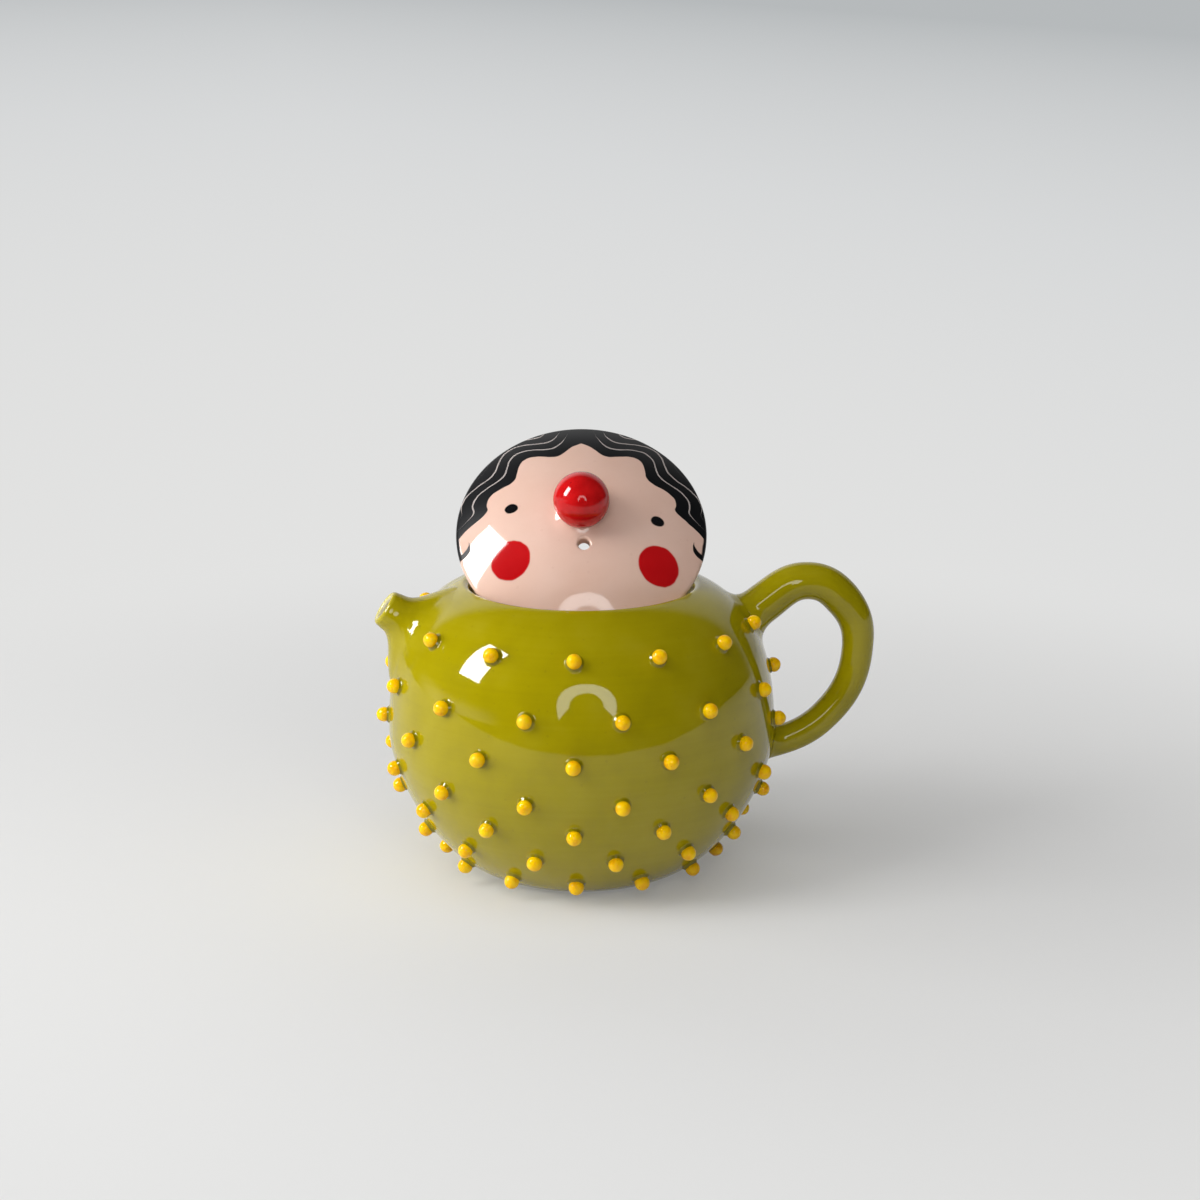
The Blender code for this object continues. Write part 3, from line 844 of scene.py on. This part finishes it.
def glaze_skin_group():
    """Shared unevenness of a fired glaze: cloudy thickness, fine specks and a rippled surface."""
    tree = bpy.data.node_groups.new("glaze_skin", "ShaderNodeTree")
    tree.interface.new_socket("Cloud Scale", in_out="INPUT", socket_type="NodeSocketFloat")
    tree.interface.new_socket("Speck Scale", in_out="INPUT", socket_type="NodeSocketFloat")
    for name in ("Cloud", "Specks", "Height"):
        tree.interface.new_socket(name, in_out="OUTPUT", socket_type="NodeSocketFloat")
    graph = Graph(tree)
    given = graph.add("NodeGroupInput")
    result = graph.add("NodeGroupOutput")
    place = graph.add("ShaderNodeTexCoord").outputs["Object"]
    cloud = graph.add("ShaderNodeTexNoise")
    cloud.inputs["Detail"].default_value = 4.0
    graph.put(cloud.inputs["Vector"], place)
    graph.put(cloud.inputs["Scale"], given.outputs["Cloud Scale"])
    cells = graph.add("ShaderNodeTexVoronoi")
    graph.put(cells.inputs["Vector"], place)
    graph.put(cells.inputs["Scale"], given.outputs["Speck Scale"])
    chosen = graph.add("ShaderNodeSeparateColor")
    graph.put(chosen.inputs[0], cells.outputs["Color"])
    size = graph.span(chosen.outputs[0], 0.55, 1.0, 0.0, 0.22)
    specks = graph.span(graph.math("SUBTRACT", size, cells.outputs["Distance"]), 0.0, 0.06)
    ripple = graph.noise(place, 110.0, 1.0)
    grain = graph.noise(place, 1500.0, 2.0)
    height = graph.math("MULTIPLY_ADD", grain, 0.02, ripple)
    graph.put(result.inputs["Cloud"], cloud.outputs["Fac"])
    graph.put(result.inputs["Specks"], specks)
    graph.put(result.inputs["Height"], height)
    return tree


def glazed(name, skin, cloud_scale, speck_scale):
    """New material with a glossy shader and the shared glaze skin."""
    material = bpy.data.materials.new(name)
    material.use_nodes = True
    graph = Graph(material.node_tree)
    shader = material.node_tree.nodes["Principled BSDF"]
    shader.inputs["Metallic"].default_value = 0.0
    shader.inputs["IOR"].default_value = 1.5
    worn = graph.add("ShaderNodeGroup", node_tree=skin)
    worn.inputs["Cloud Scale"].default_value = cloud_scale
    worn.inputs["Speck Scale"].default_value = speck_scale
    return material, graph, shader, worn.outputs


def rippled(graph, shader, height, depth):
    """Bump the shader's surface by a height, in metres at full height."""
    bump = graph.add("ShaderNodeBump")
    bump.inputs["Strength"].default_value = 1.0
    bump.inputs["Distance"].default_value = depth
    graph.put(bump.inputs["Height"], height)
    graph.put(shader.inputs["Normal"], bump.outputs[0])


def green_glaze(skin):
    """Olive glaze, thin and bright on edges, over a pale lining; bare clay below."""
    material, graph, shader, worn = glazed("green_glaze", skin, 70.0, 420.0)
    place = graph.add("ShaderNodeTexCoord").outputs["Object"]
    part = graph.add("ShaderNodeSeparateXYZ")
    graph.put(part.inputs[0], place)
    glaze = graph.add("ShaderNodeAttribute", attribute_name="glaze").outputs["Fac"]
    squeeze = graph.add("ShaderNodeMapping")
    squeeze.inputs["Scale"].default_value = (14.0, 14.0, 900.0)
    graph.put(squeeze.inputs["Vector"], place)
    lines = graph.noise(squeeze.outputs[0], 1.0, 2.0)
    cloudy = graph.math("MULTIPLY_ADD", graph.math("SUBTRACT", worn["Cloud"], 0.5), 0.22, glaze)
    streaked = graph.math("MULTIPLY_ADD", graph.math("SUBTRACT", lines, 0.5), 0.07, cloudy)
    colour = graph.ramp(
        streaked, (0.0, (0.72, 0.66, 0.47)), (0.30, (0.62, 0.56, 0.20)),
        (THIN, (0.45, 0.38, 0.030)), (COVERED, (0.325, 0.268, 0.001)), (1.0, (0.200, 0.164, 0.001)),
    )
    faint = graph.math("MULTIPLY", worn["Specks"], 0.14)
    specked = graph.mix(faint, colour, (0.10, 0.085, 0.01, 1.0))
    bare = graph.span(part.outputs["Z"], 0.0004, 0.0002)
    clay = graph.ramp(worn["Cloud"], (0.3, (0.60, 0.51, 0.40)), (0.7, (0.72, 0.64, 0.53)))
    graph.put(shader.inputs["Base Color"], graph.mix(bare, specked, clay))
    gloss = graph.math("MULTIPLY_ADD", worn["Cloud"], 0.04, 0.02)
    graph.put(shader.inputs["Roughness"], graph.math("MULTIPLY_ADD", bare, 0.7, gloss))
    shader.inputs["Specular IOR Level"].default_value = 0.42
    rippled(graph, shader, worn["Height"], 0.000045)
    return material


def yellow_glaze(skin):
    """Yellow slip under gloss, orange where it is thin, with a slightly rough skin."""
    material, graph, shader, worn = glazed("yellow_glaze", skin, 420.0, 900.0)
    place = graph.add("ShaderNodeTexCoord").outputs["Object"]
    colour = graph.ramp(
        worn["Cloud"],
        (0.30, (0.87, 0.40, 0.001)), (0.50, (0.96, 0.55, 0.001)), (0.72, (0.98, 0.65, 0.002)),
    )
    faint = graph.math("MULTIPLY", worn["Specks"], 0.6)
    specked = graph.mix(faint, colour, (0.60, 0.24, 0.002, 1.0))
    graph.put(shader.inputs["Base Color"], specked)
    rough = graph.noise(place, 1300.0, 2.0)
    graph.put(shader.inputs["Roughness"], graph.math("MULTIPLY_ADD", rough, 0.08, 0.02))
    shader.inputs["Specular IOR Level"].default_value = 0.28
    rippled(graph, shader, rough, 0.000012)
    return material


def red_glaze(skin):
    """Deep glossy red, slightly cloudy."""
    material, graph, shader, worn = glazed("red_glaze", skin, 260.0, 600.0)
    colour = graph.ramp(worn["Cloud"], (0.3, (0.43, 0.003, 0.004)), (0.7, (0.57, 0.008, 0.009)))
    specked = graph.mix(worn["Specks"], colour, (0.34, 0.004, 0.006, 1.0))
    graph.put(shader.inputs["Base Color"], specked)
    graph.put(shader.inputs["Roughness"], graph.math("MULTIPLY_ADD", worn["Cloud"], 0.05, 0.02))
    shader.inputs["Specular IOR Level"].default_value = 0.38
    rippled(graph, shader, worn["Height"], 0.00003)
    return material


def pink_skin(graph, worn):
    """Pale pink of the lid, a little deeper where the glaze is thick."""
    colour = graph.ramp(
        worn["Cloud"], (0.25, (0.715, 0.467, 0.368)), (0.75, (0.755, 0.528, 0.438)),
    )
    faint = graph.math("MULTIPLY", worn["Specks"], 0.10)
    return graph.mix(faint, colour, (0.52, 0.26, 0.19, 1.0))


def pink_glaze(skin):
    """Plain pink of the flange."""
    material, graph, shader, worn = glazed("pink_glaze", skin, 55.0, 380.0)
    graph.put(shader.inputs["Base Color"], pink_skin(graph, worn))
    graph.put(shader.inputs["Roughness"], graph.math("MULTIPLY_ADD", worn["Cloud"], 0.05, 0.05))
    rippled(graph, shader, worn["Height"], 0.00004)
    return material


def length(graph, x, y):
    """Length of a pair of values."""
    squares = graph.math("ADD", graph.math("MULTIPLY", x, x), graph.math("MULTIPLY", y, y))
    return graph.math("SQRT", squares)


def spot_mask(graph, x, y, centre, size, soft):
    """Painted oval, by its centre and its half sizes."""
    across = graph.math("DIVIDE", graph.math("SUBTRACT", x, centre[0]), size[0])
    along = graph.math("DIVIDE", graph.math("SUBTRACT", y, centre[1]), size[1])
    return graph.span(length(graph, across, along), 1.0 + soft, 1.0 - soft)


def waves(graph, turn):
    """Reach of the wavy hairline from the lid's centre, by the turn from the parting."""
    swing = graph.math("COSINE", graph.math("MULTIPLY", turn, math.tau / HAIR_WAVE_TURN))
    rolling = graph.math("MULTIPLY_ADD", swing, HAIR_WAVE, HAIR_REACH)
    widening = graph.math("MULTIPLY_ADD", turn, HAIR_WIDENING, rolling)
    parting = graph.math("EXPONENT", graph.math("MULTIPLY", turn, PARTING_FADE))
    peaked = graph.math("MULTIPLY_ADD", parting, PARTING_PEAK, widening)
    return graph.math("ADD", peaked, graph.span(turn, *HAIR_END_TURNS, 0.0, HAIR_END_RISE))


def strand_mask(graph, reach, turn, hairline, offset, first, last):
    """Thin line scratched through the hair, running beside the hairline between two turns."""
    along = graph.math("SUBTRACT", turn, first)
    lift = graph.math("EXPONENT", graph.math("MULTIPLY", along, STRAND_RISE_FADE))
    line = graph.math("MULTIPLY_ADD", lift, STRAND_RISE, graph.math("ADD", hairline, offset))
    away = graph.math("ABSOLUTE", graph.math("SUBTRACT", reach, line))
    start = graph.span(turn, first, first + 6.0)
    end = graph.span(turn, last, last - 14.0)
    width = graph.math("MULTIPLY", start, end)
    wide = graph.math("MULTIPLY_ADD", width, STRAND_HALF_WIDTH, -0.02)
    return graph.span(graph.math("SUBTRACT", wide, away), -0.06, 0.06)


def ear_mask(graph, beside, y):
    """Hooked line of an ear, growing thicker downwards."""
    hook_x = graph.math("SUBTRACT", beside, EAR_CENTRE[0])
    hook_y = graph.math("SUBTRACT", y, EAR_CENTRE[1])
    away = graph.math("ABSOLUTE", graph.math("SUBTRACT", length(graph, hook_x, hook_y), EAR_RADIUS))
    wide = graph.span(y, *EAR_LINE_HEIGHTS, *EAR_LINE_HALF_WIDTHS)
    line = graph.span(graph.math("SUBTRACT", wide, away), -0.1, 0.1)
    return graph.math("MULTIPLY", line, graph.span(y, *EAR_TOP))


def face_glaze(skin):
    """Painted face on the lid: satin black waved hair, cheeks, eyes and ears on glossy pink."""
    material, graph, shader, worn = glazed("face_glaze", skin, 55.0, 380.0)
    spot = graph.add("ShaderNodeAttribute", attribute_name="lid_place").outputs["Vector"]
    part = graph.add("ShaderNodeSeparateXYZ")
    graph.put(part.inputs[0], spot)
    wobble = graph.add("ShaderNodeTexNoise")
    graph.put(wobble.inputs["Vector"], spot)
    wobble.inputs["Scale"].default_value = 0.32
    wobble.inputs["Detail"].default_value = 1.0
    brush = graph.add("ShaderNodeSeparateColor")
    graph.put(brush.inputs[0], wobble.outputs["Color"])
    stray_x = graph.math("SUBTRACT", brush.outputs[0], 0.5)
    stray_y = graph.math("SUBTRACT", brush.outputs[1], 0.5)
    x = graph.math("MULTIPLY_ADD", stray_x, BRUSH_WOBBLE, part.outputs["X"])
    y = graph.math("MULTIPLY_ADD", stray_y, BRUSH_WOBBLE, part.outputs["Y"])
    beside = graph.math("ABSOLUTE", x)
    below = graph.math("MAXIMUM", graph.math("MULTIPLY", part.outputs["Z"], -2.0), 0.0)
    reach = graph.math("ADD", length(graph, x, y), below)
    turn = graph.math("DEGREES", graph.math("ARCTAN2", beside, y))
    glaze = graph.add("ShaderNodeAttribute", attribute_name="glaze").outputs["Fac"]
    above_edge = graph.span(part.outputs["Z"], -1.5, -1.3)
    painted = graph.math("MULTIPLY", graph.span(glaze, 0.3, 0.7), above_edge)

    hairline = waves(graph, turn)
    hair = graph.span(graph.math("SUBTRACT", reach, hairline), -HAIR_SOFTNESS, HAIR_SOFTNESS)
    lock = graph.math("MULTIPLY", graph.span(reach, *LOCK_REACHES), graph.span(turn, *LOCK_TURNS))
    black = graph.math("MAXIMUM", graph.math("MAXIMUM", hair, lock), ear_mask(graph, beside, y))

    strands = 0.0
    for offset, first, last in STRANDS:
        strand = strand_mask(graph, reach, turn, hairline, offset, first, last)
        strands = graph.math("MAXIMUM", strands, strand)
    strands = graph.math("MULTIPLY", strands, hair)

    eyes = 0.0
    for centre in EYES:
        eye = spot_mask(graph, x, y, centre, EYE_SIZE, EYE_SOFTNESS)
        eyes = graph.math("MAXIMUM", eyes, eye)
    cheeks = 0.0
    for centre, size in CHEEKS:
        cheek = spot_mask(graph, x, y, centre, size, CHEEK_SOFTNESS)
        cheeks = graph.math("MAXIMUM", cheeks, cheek)

    red = graph.ramp(worn["Cloud"], (0.3, (0.41, 0.002, 0.004)), (0.7, (0.52, 0.006, 0.008)))
    soot = graph.ramp(
        worn["Cloud"], (0.3, (0.0030, 0.0032, 0.0040)), (0.7, (0.0070, 0.0073, 0.0085)),
    )
    colour = graph.mix(graph.math("MULTIPLY", cheeks, painted), pink_skin(graph, worn), red)
    ink = graph.math("MULTIPLY", graph.math("MAXIMUM", black, eyes), painted)
    colour = graph.mix(ink, colour, soot)
    scratched = graph.math("MULTIPLY", strands, painted)
    colour = graph.mix(scratched, colour, (0.42, 0.37, 0.35, 1.0))
    graph.put(shader.inputs["Base Color"], colour)
    satin = graph.math("MULTIPLY", black, painted)
    gloss = graph.math("MULTIPLY_ADD", worn["Cloud"], 0.04, 0.04)
    graph.put(shader.inputs["Roughness"], graph.math("MULTIPLY_ADD", satin, 0.30, gloss))
    graph.put(shader.inputs["Specular IOR Level"], graph.math("MULTIPLY_ADD", satin, -0.33, 0.5))
    brushed = graph.math("SUBTRACT", satin, scratched)
    rippled(graph, shader, graph.math("MULTIPLY_ADD", brushed, 1.2, worn["Height"]), 0.00006)
    return material


def build_pot(skin):
    """Shell, spout, handle and beads, all on the pot."""
    green = green_glaze(skin)
    yellow = yellow_glaze(skin)
    wall = surface(pot_form())
    spout_skin = surface(spout_sheet(spout_rows()[:SPOUT_ROWS], FINE_SPOUT_COLUMNS))
    coil = surface(handle_coil())
    shell = pot_shell()
    refine_near(shell, wall, spout_skin, SPOUT_FLOW)
    outer = [vert for vert in shell.verts if height_over(wall, vert.co)[0] > -WALL / 2]
    flow_together(outer, wall, spout_skin, SPOUT_FLOW)
    flow_together(outer, wall, coil, HANDLE_FLOW)
    skinned = BVHTree.FromBMesh(shell)
    pierced = carved(shell, strainer_drill())
    finished("pot_shell", pierced, green, "pot", "green_glaze", "body_shell")
    finished("pot_spout", spout(wall, spout_skin), green, "pot", "green_glaze", "spout")
    finished("pot_handle", handle(wall), green, "pot", "green_glaze", "handle")
    rings = bmesh.new()
    rings.verts.layers.float.new("glaze")
    for number, places in enumerate(bead_rows(), 1):
        balls = bmesh.new()
        stood_for = []
        for i, place in enumerate(places, 1):
            node = f"bead_row{number}_{i:02d}"
            if number <= LOOSE_ROWS:
                if node not in frame["nodes"]:
                    continue
                stood_for.append(node)
            bead(balls, place)
            bead_ring(rings, place, skinned)
        finished(f"bead_row_{number}", balls, yellow, "pot", "yellow_glaze", *stood_for)
    finished("bead_glaze", rings, green, "pot", "green_glaze")


def build_lid(skin):
    """Dome, flange and ball, all on the lid."""
    seat = lid_seat()
    dome = lid_dome()
    layer = dome.verts.layers.float_vector.new("lid_place")
    for vert in dome.verts:
        vert[layer] = vert.co * 1000
    shapes = (
        ("face_lid", dome, face_glaze(skin), "pink_glaze", "lid_dome"),
        ("lid_flange", lid_collar(), pink_glaze(skin), "pink_glaze", "lid_collar"),
        ("nose_ball", knob(), red_glaze(skin), "red_glaze", "nose_knob"),
    )
    for name, bm, material, slot, node in shapes:
        bmesh.ops.transform(bm, matrix=seat, verts=bm.verts)
        finished(name, bm, material, "lid", slot, node)


def direction(turn, rise):
    """Unit vector by its turn from -Y towards +X and its rise above level, in degrees."""
    turn = math.radians(turn)
    rise = math.radians(rise)
    level = math.cos(rise)
    return Vector((math.sin(turn) * level, -math.cos(turn) * level, math.sin(rise)))


def build_camera():
    """Camera at the photograph's viewing angle."""
    data = bpy.data.cameras.new("camera")
    data.sensor_width = SENSOR_WIDTH
    data.lens = SENSOR_WIDTH * FOCAL_PIXELS / FRAME_PIXELS
    camera = bpy.data.objects.new("camera", data)
    bpy.context.scene.collection.objects.link(camera)
    back = direction(CAMERA_TURN, CAMERA_RISE)
    right = back.cross(Vector((0.0, 0.0, -1.0))).normalized()
    up = right.cross(-back)
    per_pixel = CAMERA_DISTANCE / FOCAL_PIXELS
    aim = TARGET + right * (FRAME_PIXELS / 2 - TARGET_PIXEL[0]) * per_pixel
    aim += up * (TARGET_PIXEL[1] - FRAME_PIXELS / 2) * per_pixel
    camera.location = TARGET + back * CAMERA_DISTANCE
    camera.rotation_euler = (aim - camera.location).to_track_quat("-Z", "Y").to_euler()
    bpy.context.scene.camera = camera


def softbox(name, turn, rise, distance, size, power, mirrored):
    """Lamp that faces the pot, and either only shows in its gloss or only lights it."""
    data = bpy.data.lights.new(name, "AREA")
    data.shape = "RECTANGLE"
    data.size, data.size_y = size
    data.energy = power
    lamp = bpy.data.objects.new(name, data)
    away = direction(turn, rise)
    lamp.location = TARGET + away * distance
    lamp.rotation_euler = (-away).to_track_quat("-Z", "Y").to_euler()
    lamp.visible_camera = False
    lamp.visible_glossy = mirrored
    lamp.visible_diffuse = not mirrored
    bpy.context.scene.collection.objects.link(lamp)


def arch_lamp():
    """Arch of light on two tapered legs in front of the pot."""
    bm = bmesh.new()
    inner = bm.verts.new((ARCH_RADIUS - ARCH_BAND, 0.0, 0.0))
    outer = bm.verts.new((ARCH_RADIUS, 0.0, 0.0))
    edge = bm.edges.new((inner, outer))
    bmesh.ops.spin(
        bm, geom=[inner, outer, edge], cent=(0, 0, 0), axis=(0, 0, 1),
        angle=math.pi, steps=RING_STEPS,
    )
    level = {vert for vert in bm.verts if abs(vert.co.y) < MERGE_DISTANCE}
    for foot in [edge for edge in bm.edges if level.issuperset(edge.verts)]:
        side = math.copysign(1.0, foot.verts[0].co.x)
        tip = bm.verts.new((side * (ARCH_RADIUS - LEG_LEAN * ARCH_BAND), -ARCH_LEG, 0.0))
        bm.faces.new((*foot.verts, tip))
    bmesh.ops.recalc_face_normals(bm, faces=bm.faces)
    away = direction(ARCH_TURN, ARCH_RISE)
    facing = away.to_track_quat("Z", "Y").to_matrix().to_4x4()
    place = Matrix.Translation(TARGET + away * ARCH_DISTANCE) @ facing
    bmesh.ops.transform(bm, matrix=place, verts=bm.verts)
    lamp = placed(bm, "arch_lamp")
    material = bpy.data.materials.new("arch_light")
    material.use_nodes = True
    graph = Graph(material.node_tree)
    material.node_tree.nodes.remove(material.node_tree.nodes["Principled BSDF"])
    light = graph.add("ShaderNodeEmission")
    light.inputs["Strength"].default_value = ARCH_STRENGTH
    graph.put(material.node_tree.nodes["Material Output"].inputs["Surface"], light.outputs[0])
    lamp.data.materials.append(material)
    lamp.visible_camera = False


def build_floor():
    """Pale floor, lit near the pot, that the camera and the gloss see partly as a painted glow: a
    quarter of it near the pot, which lightens the shadow there, and all of it further out, with
    painted shade darker to the right and into the distance, and a painted dark reflection past its
    front edge.
    """
    bm = bmesh.new()
    bmesh.ops.create_circle(bm, cap_ends=True, segments=STAGE_STEPS, radius=STAGE_RADIUS)
    bmesh.ops.translate(bm, vec=(0.0, 0.0, -STAGE_DROP), verts=bm.verts)
    floor = placed(bm, "floor")
    material = bpy.data.materials.new("floor_paper")
    material.use_nodes = True
    graph = Graph(material.node_tree)
    shader = material.node_tree.nodes["Principled BSDF"]
    shader.inputs["Base Color"].default_value = (0.76, 0.76, 0.755, 1.0)
    shader.inputs["Roughness"].default_value = 0.9
    shader.inputs["Specular IOR Level"].default_value = 0.2
    place = graph.add("ShaderNodeTexCoord").outputs["Object"]
    measure = graph.add("ShaderNodeVectorMath", operation="LENGTH")
    graph.put(measure.inputs[0], place)
    distance = measure.outputs["Value"]
    path = graph.add("ShaderNodeLightPath").outputs
    seen = graph.math("MAXIMUM", path["Is Camera Ray"], path["Is Glossy Ray"])
    seen = graph.math("MAXIMUM", seen, path["Is Transmission Ray"])
    pale = graph.add("ShaderNodeEmission")
    part = graph.add("ShaderNodeSeparateXYZ")
    graph.put(part.inputs[0], place)
    # Painted shade: the glow darkens to the right and into the distance
    rightward = graph.math("MAXIMUM", part.outputs["X"], 0.0)
    painted_falloff = graph.ramp(
        graph.math("DIVIDE", graph.math("MULTIPLY_ADD", rightward, 2.0, distance), 8.0),
        (0.05, (0.765, 0.765, 0.758)), (0.35, (0.68, 0.69, 0.695)), (1.0, (0.47, 0.49, 0.50)),
    )
    # Painted reflection: past its front edge the floor shows near black in the gloss, for the dim
    # room in front
    in_front = graph.span(part.outputs["Y"], -0.36, -0.40)
    painted_dark_past_edge = graph.math("MULTIPLY", path["Is Glossy Ray"], in_front)
    graph.put(pale.inputs["Color"], graph.mix(painted_dark_past_edge, painted_falloff, (0.05, 0.05, 0.05, 1.0)))
    blend = graph.add("ShaderNodeMixShader")
    # Painted glow: a quarter of the seen floor near the pot, lightening its shadow, and all of it
    # further out
    far = graph.math("MULTIPLY", seen, graph.span(distance, 0.10, 0.42, 0.24, 1.0))
    graph.put(blend.inputs[0], graph.math("MAXIMUM", far, painted_dark_past_edge))
    graph.put(blend.inputs[1], shader.outputs[0])
    graph.put(blend.inputs[2], pale.outputs[0])
    graph.put(material.node_tree.nodes["Material Output"].inputs["Surface"], blend.outputs[0])
    floor.data.materials.append(material)


def build_world():
    """Pale walls at the horizon and behind the pot, a dim room above and in front of it."""
    world = bpy.data.worlds.new("studio")
    world.use_nodes = True
    bpy.context.scene.world = world
    graph = Graph(world.node_tree)
    part = graph.add("ShaderNodeSeparateXYZ")
    way = graph.add("ShaderNodeTexCoord").outputs["Generated"]
    graph.put(part.inputs[0], way)
    facing = graph.add("ShaderNodeVectorMath", operation="DOT_PRODUCT")
    graph.put(facing.inputs[0], way)
    facing.inputs[1].default_value = direction(170.0, 0.0)
    behind = graph.span(facing.outputs["Value"], 0.54, 0.70)
    behind = graph.math("MULTIPLY", behind, graph.span(part.outputs["Z"], 1.0, 0.45, 0.35, 1.0))
    behind = graph.math("MULTIPLY", behind, graph.span(part.outputs["X"], 0.85, -0.35, 0.45, 1.0))
    low = graph.span(part.outputs["Z"], 0.14, 0.02)
    left = graph.math("MULTIPLY", graph.span(part.outputs["X"], -0.80, -1.0), low)
    bright = graph.math("ADD", graph.math("MAXIMUM", behind, left), 0.03)
    background = world.node_tree.nodes["Background"]
    background.inputs["Color"].default_value = (1.0, 1.0, 1.0, 1.0)
    graph.put(background.inputs["Strength"], bright)


def main():
    """Build the pot, its stage and its lamps."""
    skin = glaze_skin_group()
    build_camera()
    build_pot(skin)
    build_lid(skin)
    build_floor()
    build_world()
    for lamp in SOFTBOXES:
        softbox(*lamp)
    arch_lamp()
    bpy.context.scene.view_settings.view_transform = "Standard"


main()
